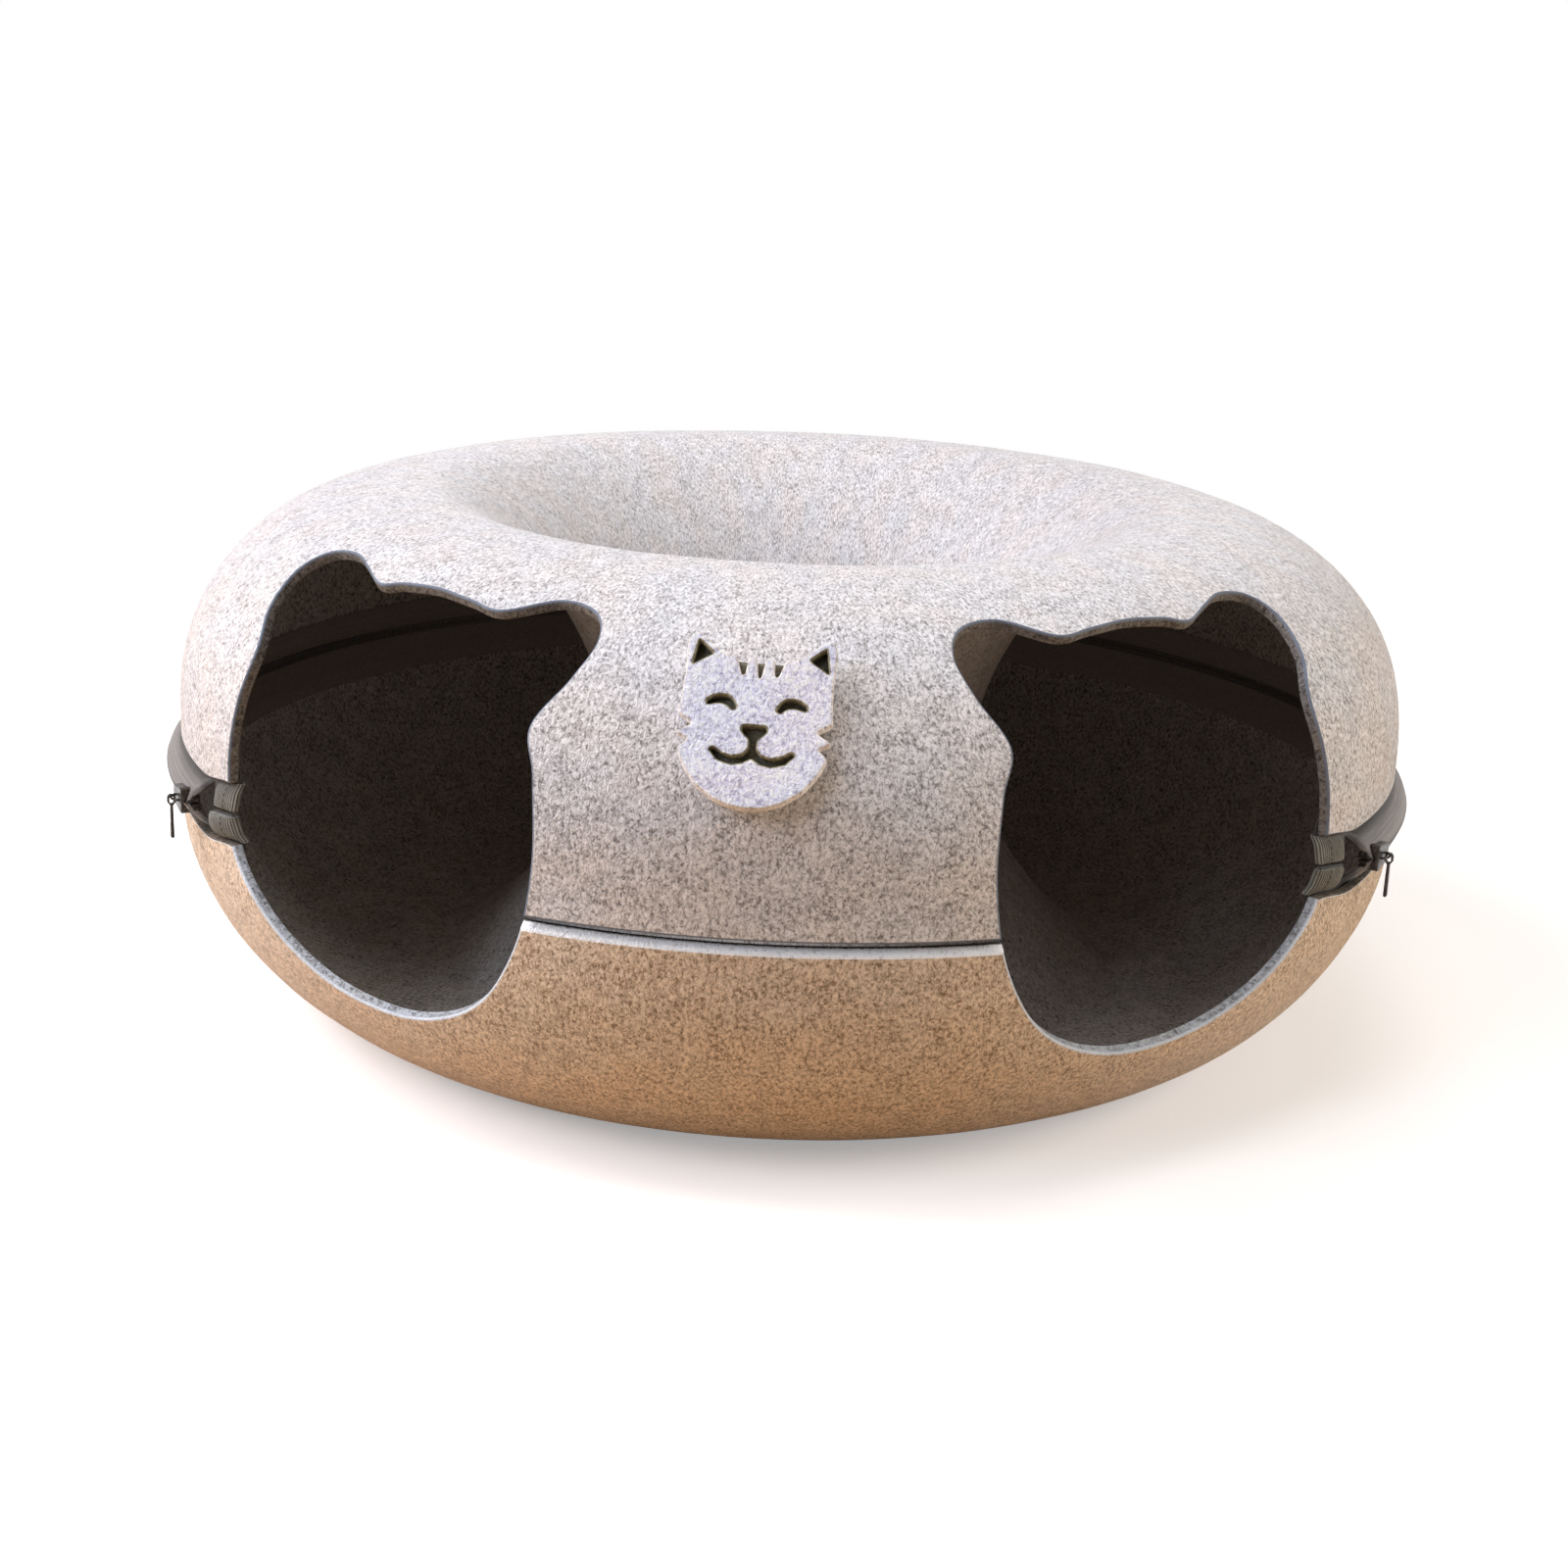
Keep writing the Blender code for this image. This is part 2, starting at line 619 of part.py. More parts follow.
def slider_frame(end):
    """Placement on the zip: X towards the slider's mouth, Z outwards, from the felt's outer wall."""
    angle = end * SLIDER_ANGLE
    outward = ring_point(angle, 1.0, 0.0)
    mouth = Vector((math.cos(angle), math.sin(angle), 0.0)) * -end
    across = outward.cross(mouth)
    frame = Matrix.Identity(4)
    for column, axis in enumerate((mouth, across, outward)):
        for row in range(3):
            frame[row][column] = axis[row]
    frame.translation = zip_point(angle, 0.0, 0.0)
    return frame


def prism(name, outline, low, high):
    """An outline in X and Y raised along Z between two heights."""
    return loft(name, [[(x, y, z) for x, y in outline] for z in (low, high)])


def slider_channel():
    """Half of the space that the zip takes inside a slider, as height and stand-off."""
    roof = offset_line(TAPE_FACE, -FRONT_PLAY)
    plate_top = TAPE_RIDGE - TAPE - COIL_DEPTH - BACK_PLAY
    side_wall = SLOT_HALF + COIL_WIDTH + FRONT_PLAY
    peak = roof[4][1] + (roof[4][1] - roof[3][1]) / (roof[3][0] - roof[4][0]) * roof[4][0]
    return [
        (0.0, peak),
        roof[3],
        roof[2],
        (roof[2][0], plate_top - BACK_PLATE - CUT_OVERRUN),
        (BACK_HALF_WIDTH, plate_top - BACK_PLATE - CUT_OVERRUN),
        (BACK_HALF_WIDTH, plate_top + BACK_FLANGE),
        (side_wall, plate_top + BACK_FLANGE),
        (side_wall, plate_top),
    ]


def make_slider(name, end, parent):
    """A slider cast in one piece: front and back plates, the post between them, and the bail."""
    frame = slider_frame(end)
    back = TAPE_RIDGE - TAPE - COIL_DEPTH - BACK_PLAY - BACK_PLATE
    half = slider_channel()
    front = half[0][1] + FRONT_PLATE
    right = [(x * SLIDER_LENGTH / 2.0, y * SLIDER_HALF_WIDTH) for x, y in SLIDER_OUTLINE_SHARES]
    outline = right + [(x, -y) for x, y in reversed(right)]
    slider = prism(name, outline, back, front)
    slider.data.materials.append(GUNMETAL)
    bevel = slider.modifiers.new("rounding", "BEVEL")
    bevel.width = SLIDER_ROUNDING
    bevel.segments = 2
    bevel.limit_method = "ANGLE"

    section = half + [(-height, stand_off) for height, stand_off in reversed(half[1:])]
    reach = SLIDER_LENGTH / 2.0 + CUT_OVERRUN
    channel = loft(name + "_channel", [[(x, y, z) for y, z in section] for x in (-reach, reach)])
    boolean(slider, as_cutter(channel))

    post_low, post_high = POST_CENTRE - POST_LENGTH / 2.0, POST_CENTRE + POST_LENGTH / 2.0
    side = POST / 2.0
    corners = ((post_low, -side), (post_high, -side), (post_high, side), (post_low, side))
    post = prism(name + "_post", corners, back + BACK_PLATE / 2.0, front - FRONT_PLATE / 2.0)
    boolean(slider, as_cutter(post), "UNION")

    bail = make_bail(name + "_bail", front)
    boolean(slider, as_cutter(bail), "UNION")
    for piece in (slider, channel, post, bail):
        piece.parent = parent
        piece.matrix_world = frame
    return frame @ Vector((0.0, 0.0, front + BAIL_RISE))


def make_bail(name, front):
    """The arched wire over a slider's front plate, with its feet in the plate."""
    curve = bpy.data.curves.new(name, "CURVE")
    curve.dimensions = "3D"
    curve.bevel_depth = BAIL_WIRE / 2.0
    curve.bevel_resolution = 2
    curve.use_fill_caps = True
    foot = front - FRONT_PLATE / 2.0
    places = [(-BAIL_SPAN / 2.0, foot)]
    for step in range(BAIL_STEPS + 1):
        turn = step / BAIL_STEPS * math.pi
        places.append((-BAIL_SPAN / 2.0 * math.cos(turn), front + BAIL_RISE * math.sin(turn)))
    places.append((BAIL_SPAN / 2.0, foot))
    spline = curve.splines.new("POLY")
    spline.points.add(len(places) - 1)
    for point, (x, z) in zip(spline.points, places):
        point.co = (x, 0.0, z, 1.0)
    return curve_to_mesh(name, curve)


def arc_points(centre, radii, first, last, steps):
    points = []
    for step in range(steps + 1):
        turn = blend(first, last, step / steps)
        points.append((centre[0] + radii[0] * math.cos(turn), centre[1] + radii[1] * math.sin(turn)))
    return points


def make_puller(name, end, pivot, parent):
    """A flat puller with an eye round the bail, hanging straight down from it."""
    wide = (PULLER_EYE_HALF_WIDTH, PULLER_EYE_RISE)
    eye = arc_points((0.0, 0.0), wide, 0.0, math.pi, PULLER_CURVE_STEPS)
    foot_top = -PULLER_LENGTH + PULLER_FOOT_HALF_WIDTH
    end_round = (PULLER_FOOT_HALF_WIDTH, PULLER_FOOT_HALF_WIDTH)
    foot = arc_points((0.0, foot_top), end_round, math.pi, math.tau, PULLER_CURVE_STEPS)
    eye_side = (PULLER_EYE_HALF_WIDTH, -PULLER_EYE_DROP / 2.0)
    stem_side = (PULLER_STEM_HALF_WIDTH, -PULLER_EYE_DROP)
    outline = eye + mirrored([stem_side, eye_side]) + foot + [stem_side, eye_side]
    hole_top = (PULLER_EYE_HOLE, BAIL_WIRE / 2.0 + CLEARANCE)
    hole_round = (PULLER_EYE_HOLE, PULLER_EYE_HOLE)
    hole = arc_points((0.0, 0.0), hole_top, 0.0, math.pi, PULLER_CURVE_STEPS)
    low = (0.0, PULLER_EYE_HOLE - PULLER_HOLE_DROP)
    hole += arc_points(low, hole_round, math.pi, math.tau, PULLER_CURVE_STEPS)
    puller = flat_outline(name, [outline, hole], PULLER_THICKNESS)
    puller.data.materials.append(GUNMETAL)
    angle = end * SLIDER_ANGLE
    outward = ring_point(angle, 1.0, 0.0)
    up = Vector((0.0, 0.0, 1.0))
    frame = Matrix.Identity(4)
    for column, axis in enumerate((outward, up, outward.cross(up))):
        for row in range(3):
            frame[row][column] = axis[row]
    frame.translation = pivot
    puller.parent = parent
    puller.matrix_world = frame


def make_tab(name, side, end):
    """A strip of twill folded over one end of the tape, from its outer face to its inner face."""
    outside = TAPE_OPEN_FACE
    inside = inner_face(outside)
    low = TAPE_OPEN_HEIGHT + CLEARANCE
    high = RIM_SET_BACK - TAPE_HEM_DROP - CLEARANCE
    heights = (
        low, blend(low, TAPE_BROW_HEIGHT, TAB_CORNER_SHARE), TAPE_BROW_HEIGHT, TAPE_SHOULDER_HEIGHT,
        blend(high, TAPE_SHOULDER_HEIGHT, TAB_CORNER_SHARE), high,
    )
    rings = []
    for height in heights:
        share = (height - low) / (high - low)
        edge = door_edge_angle(side * height)
        outer = stand_off_at(outside, height) + CLEARANCE
        inner = stand_off_at(inside, height) - CLEARANCE - FACET_SAG
        rounding = TAB_CORNER * (1.0 - math.sqrt(max(math.sin(share * math.pi), 0.0)))
        rings.append(tab_section(edge, side * height, end, outer, inner, rounding))
    loft(name, rings, TWILL_GREY, paired=True)


def stand_off_at(face, height):
    """Stand-off of a face given from high to low, at a height."""
    for (high, first), (low, second) in zip(face, face[1:]):
        if low <= height <= high:
            return blend(second, first, (height - low) / (high - low))
    return face[-1][1] if height < face[-1][0] else face[0][1]


def tab_section(edge, height, end, outer, inner, rounding):
    """The U of a folded tab at one height, round the tape's end."""
    centre = (outer + inner) / 2.0
    leg = along_ring(TAB_LENGTH - rounding)
    inner_leg = along_ring(TAB_INNER_LENGTH - rounding)
    spans = max(1, round(along_ring(TAB_LENGTH) / TAB_SPACING))
    steps = [index / spans for index in range(spans, 0, -1)]
    half = (outer - inner) / 2.0
    places = [(edge + leg * share, outer + TAB) for share in steps]
    places += fold_points(edge, centre, half + TAB, TAB_FOLD)
    places += [(edge + inner_leg * share, inner - TAB) for share in reversed(steps)]
    places += [(edge + inner_leg * share, inner) for share in steps]
    places += fold_points(edge, centre, half, TAB_FOLD - TAB)[::-1]
    places += [(edge + leg * share, outer) for share in reversed(steps)]
    return [zip_point(end * angle, height, stand_off) for angle, stand_off in places]


def fold_points(edge, centre, half, reach):
    """The fold's bend towards the doorway, from the outer leg to the inner one."""
    points = []
    for share in (0.0, 0.25, 0.5, 0.75, 1.0):
        turn = blend(math.pi / 2.0, -math.pi / 2.0, share)
        points.append((edge - along_ring(reach) * math.cos(turn), centre + half * math.sin(turn)))
    return points


def badge_place():
    """The badge's wall point and directions in the section: outwards and up along the wall."""
    place, outward = wall_place(BADGE_UP_SHARE)
    return place, outward, Vector((-outward.y, outward.x))


def badge_frame(stand_off):
    """Placement flat over the pillar: X across, Y up along the wall, Z outwards."""
    place, outward, upward = badge_place()
    level = Vector((math.cos(BADGE_ANGLE), math.sin(BADGE_ANGLE), 0.0))
    rise = ring_point(BADGE_ANGLE, upward.x, upward.y)
    across = level * math.cos(BADGE_TILT) + rise * math.sin(BADGE_TILT)
    up = rise * math.cos(BADGE_TILT) - level * math.sin(BADGE_TILT)
    axes = (across, up, ring_point(BADGE_ANGLE, outward.x, outward.y))
    frame = Matrix.Identity(4)
    for column, axis in enumerate(axes):
        for row in range(3):
            frame[row][column] = axis[row]
    middle = place + outward * stand_off
    frame.translation = ring_point(BADGE_ANGLE, middle.x, middle.y)
    return frame


def badge_points(shares):
    return [(x * BADGE_HALF_WIDTH, y * BADGE_HALF_WIDTH) for x, y in shares]


def mirrored(points):
    return [(-x, y) for x, y in reversed(points)]


def make_badge():
    """The cat's face, a flat felt plate with its features cut through it."""
    face = badge_points(BADGE_OUTLINE_SHARES)
    mouth = badge_points(BADGE_MOUTH_SHARES)
    outlines = [face + mirrored(face[1:]), mouth + mirrored(mouth[1:-1])]
    for shares in (BADGE_EAR_SHARES, BADGE_EYE_SHARES):
        hole = badge_points(shares)
        outlines += [hole, mirrored(hole)]
    badge = flat_outline("badge", outlines, BADGE)
    badge.data.materials.append(BADGE_FELT)
    badge.matrix_world = badge_frame(BADGE_STAND_OFF + BADGE / 2.0)


def make_pad():
    """The pad behind the badge: flat at the badge's back, and along the wall on its other side."""
    centre, outward, upward = badge_place()
    rings = []
    for index in range(PAD_STATIONS):
        share = BADGE_UP_SHARE + blend(-PAD_REACH_SHARE, PAD_REACH_SHARE, index / (PAD_STATIONS - 1))
        place, away = wall_place(share)
        offset = place + away * CLEARANCE - centre
        level, near = offset.dot(upward), offset.dot(outward)
        far = BADGE_STAND_OFF - CLEARANCE
        side = PAD_HALF_WIDTH
        rings.append([(-side, level, near), (side, level, near), (side, level, far), (-side, level, far)])
    pad = loft("badge_pad", rings, PAD_DARK)
    pad.matrix_world = badge_frame(0.0)


def make_pivot(name, place):
    pivot = link(bpy.data.objects.new(name, None))
    pivot.location = place
    bpy.context.view_layer.update()
    return pivot


make_shells([make_door_cutter(-1), make_door_cutter(1), make_rim_cutter()])
make_hole_tape()
for level, side in (("upper", 1), ("lower", -1)):
    make_tape("zip_tape_" + level, side)
    make_coil("zip_coil_" + level, side)
    for hand, end in (("left", -1), ("right", 1)):
        make_stop("zip_stop_" + level + "_" + hand, side, end)
        make_tab("end_tab_" + level + "_" + hand, side, end)
for hand, end in (("left", -1), ("right", 1)):
    travel = make_pivot("slider_travel_" + hand, (0.0, 0.0, 0.0))
    bail_top = make_slider("slider_" + hand, end, travel)
    make_puller("puller_" + hand, end, bail_top, travel)
make_badge()
make_pad()
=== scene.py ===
"""Looks of the felt cat tunnel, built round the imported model.

Sizes are in metres, +Z up, the front faces -Y. An angle round the ring starts at the front and grows
towards +X. On a shell, a place is (along, down): the way round the ring at the outer wall, and the
arc length from the split over the crest, or under the base, to the seam in the middle hole.
"""

import json
import math

import bmesh
import bpy
import numpy as np
from mathutils import Matrix, Vector, noise
from mathutils.geometry import delaunay_2d_cdt

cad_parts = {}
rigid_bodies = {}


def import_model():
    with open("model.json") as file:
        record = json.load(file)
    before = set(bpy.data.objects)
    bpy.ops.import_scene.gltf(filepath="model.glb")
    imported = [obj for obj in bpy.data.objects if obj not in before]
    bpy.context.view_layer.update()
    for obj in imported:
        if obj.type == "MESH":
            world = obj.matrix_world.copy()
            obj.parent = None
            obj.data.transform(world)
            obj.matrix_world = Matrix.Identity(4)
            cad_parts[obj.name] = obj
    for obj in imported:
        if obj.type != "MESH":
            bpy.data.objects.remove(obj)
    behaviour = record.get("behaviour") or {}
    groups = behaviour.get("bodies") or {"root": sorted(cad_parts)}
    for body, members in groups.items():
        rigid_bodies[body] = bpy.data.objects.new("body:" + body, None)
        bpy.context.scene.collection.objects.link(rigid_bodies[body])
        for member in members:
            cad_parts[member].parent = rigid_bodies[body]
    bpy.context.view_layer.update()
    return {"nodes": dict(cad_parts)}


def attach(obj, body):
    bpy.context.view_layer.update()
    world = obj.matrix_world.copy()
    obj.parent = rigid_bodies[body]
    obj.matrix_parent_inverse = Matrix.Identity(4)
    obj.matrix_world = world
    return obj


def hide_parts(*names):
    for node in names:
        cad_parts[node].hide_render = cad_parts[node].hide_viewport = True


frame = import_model()

# The ring, as in the frame
OUTER_RADIUS = 0.3
HEIGHT = 0.2445
HOLE_RADIUS = 0.09
CREST_RADIUS = 0.181
BASE_OUTER_RADIUS = 0.215
BASE_INNER_RADIUS = 0.172
SPLIT_HEIGHT = 0.117
FELT = 0.005
CLEARANCE = 0.0003
# Each quarter of the section: widest radius, middle radius, straight land at the split, fullness
TOP_QUARTERS = ((OUTER_RADIUS, CREST_RADIUS, 0.025, 2.25), (HOLE_RADIUS, CREST_RADIUS, 0.011, 1.62))
BOTTOM_QUARTERS = (
    (OUTER_RADIUS, BASE_OUTER_RADIUS, 0.022, 1.65), (HOLE_RADIUS, BASE_INNER_RADIUS, 0.011, 1.35),
)
SPLIT_GAP = 0.0052
RIM_SLANT = 0.0036
RIM_SET_BACK = 0.014
ZIP_RISE = 0.005
RISE_START_ANGLE = math.radians(59.4)
RISE_END_ANGLE = math.radians(52.0)
DOOR_ANGLE = math.radians(36.0)
DOOR_HALF_ANGLE = math.radians(20.5)
DOOR_OUTLINE_SHARES = (
    (0.19, -0.385), (0.46, -0.338), (0.68, -0.235), (0.82, -0.075), (0.89, 0.13), (0.87, 0.29),
    (0.82, 0.39), (0.93, 0.5), (0.98, 0.6), (0.9, 0.678), (0.7, 0.7), (0.45, 0.641),
    (0.25, 0.655), (0.02, 0.669), (-0.2, 0.659), (-0.34, 0.64), (-0.55, 0.675), (-0.75, 0.699),
    (-0.93, 0.676), (-0.99, 0.605), (-0.92, 0.5), (-0.79, 0.4), (-0.79, 0.27), (-0.82, 0.08),
    (-0.79, -0.06), (-0.63, -0.165), (-0.42, -0.275), (-0.14, -0.362),
)

# How finely the felt is built
EDGE_ROUNDING = 0.0009
EDGE_TURNS = 4
EDGE_MIDDLE_SHARES = (0.38, 0.62)
GRID_ALONG = 0.0065
GRID_DOWN = 0.0055
DOOR_STEPS = 22
RIM_STEP = 0.0045
# Rows of points beside a cut edge: distance from it, and every how many points
NEAR_ROWS = ((0.0021, 1), (0.0042, 2))
SECTION_SAMPLES = 400
SECTION_PLACES = 900
SECTION_SMOOTHING = 0.007
CHUNK = 1500

# The felt's slow waves: height, scale and share of each noise, and where they fade out
WAVE = 0.0007
BROAD_WAVE = (14.0, 0.7)
FINE_WAVE = (38.0, 0.3)
WAVE_STILL = 0.012
WAVE_FADE = 0.03
GROUND_FADE = 0.02

# Order of a shell's materials
OUTSIDE, INSIDE, CUT, SEWN_RIM, SILL = range(5)


# Lines and curves


def blend(first, second, share):
    return first + (second - first) * share


def ease(value, low, high):
    """A soft step from 0 at low to 1 at high."""
    share = min(max((value - low) / (high - low), 0.0), 1.0)
    return share * share * (3.0 - 2.0 * share)


def unit(rows):
    return rows / np.linalg.norm(rows, axis=1)[:, None]


def around(angle, radius, height):
    """Points at angles round the ring."""
    return np.stack([radius * np.sin(angle), -radius * np.cos(angle), height], axis=1)


def hermite(start, end, leave, arrive, t):
    """A point on the curve that leaves start and arrives at end in given directions."""
    place = start * (2.0 * t ** 3 - 3.0 * t ** 2 + 1.0) + leave * (t ** 3 - 2.0 * t ** 2 + t)
    return place + (end * (3.0 * t ** 2 - 2.0 * t ** 3) + arrive * (t ** 3 - t ** 2))


def smooth_loop(points, steps):
    """A closed loop through given points, rounded between them."""
    places = [Vector(point) for point in points]
    loop = []
    for index in range(len(places)):
        before, start, end, after = (places[(index + shift) % len(places)] for shift in (-1, 0, 1, 2))
        for step in range(steps):
            place = hermite(start, end, (end - before) / 2.0, (after - start) / 2.0, step / steps)
            loop.append((place.x, place.y))
    return loop


def curve_through(points, steps):
    """Points along a smooth open line through a few places."""
    places = [Vector(p) for p in points]
    places = [places[0] * 2.0 - places[1]] + places + [places[-1] * 2.0 - places[-2]]
    line = []
    spans = len(places) - 3
    for step in range(steps + 1):
        at = step / steps * spans
        index = min(int(at), spans - 1)
        a, b, c, d = places[index:index + 4]
        first, second, third = ((q - p).length ** 0.5 for p, q in ((a, b), (b, c), (c, d)))
        leave = (b - a) / first - (c - a) / (first + second) + (c - b) / second
        arrive = (c - b) / second - (d - b) / (second + third) + (d - c) / third
        line.append(hermite(b, c, leave * second, arrive * second, at - index))
    return line


def offset(line, distance, closed=False):
    """A line moved to its left. The ends of an open line move only down the shell."""
    run = unit(np.roll(line, -1, axis=0) - line if closed else np.diff(line, axis=0))
    side = np.stack([-run[:, 1], run[:, 0]], axis=1)
    if closed:
        before, after = np.roll(side, 1, axis=0), side
    else:
        before, after = np.concatenate([side[:1], side]), np.concatenate([side, side[-1:]])
    middle = unit(before + after)
    scale = 1.0 / np.clip((middle * before).sum(axis=1), 0.5, 1.0)
    moved = line + middle * (distance * scale)[:, None]
    if not closed:
        moved[[0, -1]] = line[[0, -1]] + (0.0, distance)
    return moved


def inside_polygon(points, polygon):
    """Which points lie in a polygon."""
    x, y = points[:, 0][:, None], points[:, 1][:, None]
    x1, y1 = polygon[:, 0], polygon[:, 1]
    x2, y2 = np.roll(x1, -1), np.roll(y1, -1)
    found = np.zeros(len(points), bool)
    for start in range(0, len(points), CHUNK):
        part = slice(start, start + CHUNK)
        above = (y1 > y[part]) != (y2 > y[part])
        with np.errstate(divide="ignore", invalid="ignore"):
            at = (x2 - x1) * (y[part] - y1) / (y2 - y1) + x1
        found[part] = (above & (x[part] < at)).sum(axis=1) % 2 == 1
    return found


def distance_to(points, line, closed=False):
    """Each point's distance from a line."""
    start = line if closed else line[:-1]
    end = np.roll(line, -1, axis=0) if closed else line[1:]
    run = end - start
    size = (run ** 2).sum(axis=1)
    size[size == 0.0] = 1e-12
    best = np.empty(len(points))
    for first in range(0, len(points), CHUNK):
        way = points[first:first + CHUNK, None, :] - start[None]
        share = np.clip((way * run).sum(axis=2) / size, 0.0, 1.0)
        gap = way - run * share[:, :, None]
        best[first:first + CHUNK] = np.sqrt((gap ** 2).sum(axis=2).min(axis=1))
    return best


def staggered(low, high, steps):
    """A grid of points whose every second row is shifted by half a step."""
    rows = []
    for index, y in enumerate(np.arange(low[1], high[1], steps[1])):
        x = np.arange(low[0] + (steps[0] / 2.0 if index % 2 else 0.0), high[0], steps[0])
        rows.append(np.column_stack([x, np.full(len(x), y)]))
    return np.concatenate(rows)


def triangulate(points, loops):
    """Triangles inside the first closed loop and outside the others, and each point's new number."""
    edges = [pair for loop in loops for pair in zip(loop, loop[1:] + loop[:1])]
    result = delaunay_2d_cdt([Vector(p) for p in points], edges, [loops[0]], 1, 1e-7)
    verts = np.array([tuple(v) for v in result[0]])
    faces = np.array([f for f in result[2] if len(f) == 3])
    centres = verts[faces].mean(axis=1)
    for hole in loops[1:]:
        outside = ~inside_polygon(centres, points[hole])
        faces, centres = faces[outside], centres[outside]
    a, b, c = (verts[faces[:, k]] for k in range(3))
    turn = (b[:, 0] - a[:, 0]) * (c[:, 1] - a[:, 1]) - (b[:, 1] - a[:, 1]) * (c[:, 0] - a[:, 0])
    faces[turn < 0] = faces[turn < 0][:, ::-1]
    return verts, faces, {old: new for new, found in enumerate(result[3]) for old in found}


def wave(points, scale, seed):
    """Slow noise at points, from -1 to 1."""
    shift = Vector((seed, seed * 0.37, seed * 1.7))
    return np.array([noise.noise(Vector(p) * scale + shift) for p in points])


# Section of the ring


def quarter(upwards, widest, middle, land, fullness):
    """From the split along the land and a rounded quarter, to the section's top or bottom."""
    level = SPLIT_HEIGHT + (land if upwards else -land)
    rise = (HEIGHT if upwards else 0.0) - level
    points = [(widest, SPLIT_HEIGHT)]
    for step in range(SECTION_SAMPLES + 1):
        turn = step / SECTION_SAMPLES * math.pi / 2.0
        across = max(math.cos(turn), 0.0) ** (2.0 / fullness)
        up = math.sin(turn) ** (2.0 / fullness)
        points.append((middle + (widest - middle) * across, level + rise * up))
    return points


def arc_lengths(points):
    return np.concatenate([[0.0], np.cumsum(np.linalg.norm(np.diff(points, axis=0), axis=1))])


class Section:
    """Half of the ring's section as a smooth line with its outward direction."""

    def __init__(self, upwards, quarters):
        self.upwards = upwards
        self.sign = 1.0 if upwards else -1.0
        wall, hole = (quarter(upwards, *shape) for shape in quarters)
        self.wall_length = float(arc_lengths(np.array(wall))[-1])
        points = np.array(wall + hole[::-1])
        lengths = arc_lengths(points)
        keep = np.concatenate([[True], np.diff(lengths) > 1e-9])
        points, lengths = points[keep], lengths[keep]
        self.length = float(lengths[-1])
        self.places = np.linspace(0.0, self.length, SECTION_PLACES)
        line = np.stack([np.interp(self.places, lengths, points[:, k]) for k in (0, 1)], axis=1)
        reach = int(SECTION_SMOOTHING / self.places[1])
        kernel = np.hanning(2 * reach + 3)[1:-1]
        kernel /= kernel.sum()
        lead = 2 * line[:1] - line[reach:0:-1]
        tail = 2 * line[-1:] - line[-2:-reach - 2:-1]
        padded = np.concatenate([lead, line, tail])
        self.line = np.stack([np.convolve(padded[:, k], kernel, "valid") for k in (0, 1)], axis=1)
        run = unit(np.gradient(self.line, axis=0))
        self.out = np.stack([run[:, 1] * self.sign, -run[:, 0] * self.sign], axis=1)

    def at(self, down):
        """Radius and height of the outer face, and the two parts of its outward direction."""
        rows = (*self.line.T, *self.out.T)
        return [np.interp(down, self.places, row) for row in rows]

    def points(self, places):
        """Points in space of places (along, down, depth under the outer face)."""
        along, down, depth = places.T
        radius, height, out_r, out_z = self.at(down)
        return around(along / OUTER_RADIUS, radius - out_r * depth, height - out_z * depth)


TOP = Section(True, TOP_QUARTERS)
BOTTOM = Section(False, BOTTOM_QUARTERS)
DOOR_LOOP = smooth_loop(DOOR_OUTLINE_SHARES, DOOR_STEPS)


def door_section(up):
    return TOP if up >= 0.0 else BOTTOM


def zip_rise(angle):
    """How far the zip has climbed at an angle."""
    turn = abs((angle + math.pi) % math.tau - math.pi)
    return ZIP_RISE * ease(turn, RISE_START_ANGLE, RISE_END_ANGLE)


def rim_at(angle, sign):
    """How far down a shell its rim at the zip lies."""
    return RIM_SET_BACK + sign * zip_rise(angle)


def door_chain(sign):
    """The right doorway's edge on one shell, from the pillar to its far side, as (angle, down)."""
    points = []
    for across, up in DOOR_LOOP:
        points.append((DOOR_ANGLE - across * DOOR_HALF_ANGLE, up * door_section(up).wall_length * sign))
    if sign < 0.0:
        points.reverse()

    def over(point):
        """How far a point lies beyond the shell's border."""
        return point[1] - (SPLIT_GAP / 2.0 if point[0] < DOOR_ANGLE else rim_at(point[0], sign))

    def crossing(outer, inner):
        share = over(outer) / (over(outer) - over(inner))
        return tuple(o + (i - o) * share for o, i in zip(outer, inner))

    inside = [over(point) > 0.0 for point in points]
    first = next(i for i in range(len(points)) if inside[i] and not inside[i - 1])
    points = points[first:] + points[:first]
    size = next(i for i, point in enumerate(points) if over(point) <= 0.0)
    chain = points[:size]
    return [crossing(points[-1], chain[0])] + chain + [crossing(points[size], chain[-1])]


def front_line(sign):
    """The shell's open border from the back round the front to the back, as (along, down)."""
    chain = door_chain(sign)
    pillar, far = chain[0][0], chain[-1][0]
    steps = max(2, int(pillar * OUTER_RADIUS / RIM_STEP))
    right = [(pillar * step / steps, SPLIT_GAP / 2.0) for step in range(steps)] + chain
    steps = int((math.pi - far) * OUTER_RADIUS / RIM_STEP)
    for step in range(1, steps + 1):
        angle = far + (math.pi - far) * step / steps
        right.append((angle, rim_at(angle, sign)))
    left = [(-angle, down) for angle, down in reversed(right[1:])]
    return np.array([(angle * OUTER_RADIUS, down) for angle, down in left + right])


# Meshes


def in_scene(name, data):
    made = bpy.data.objects.new(name, data)
    bpy.context.scene.collection.objects.link(made)
    return made


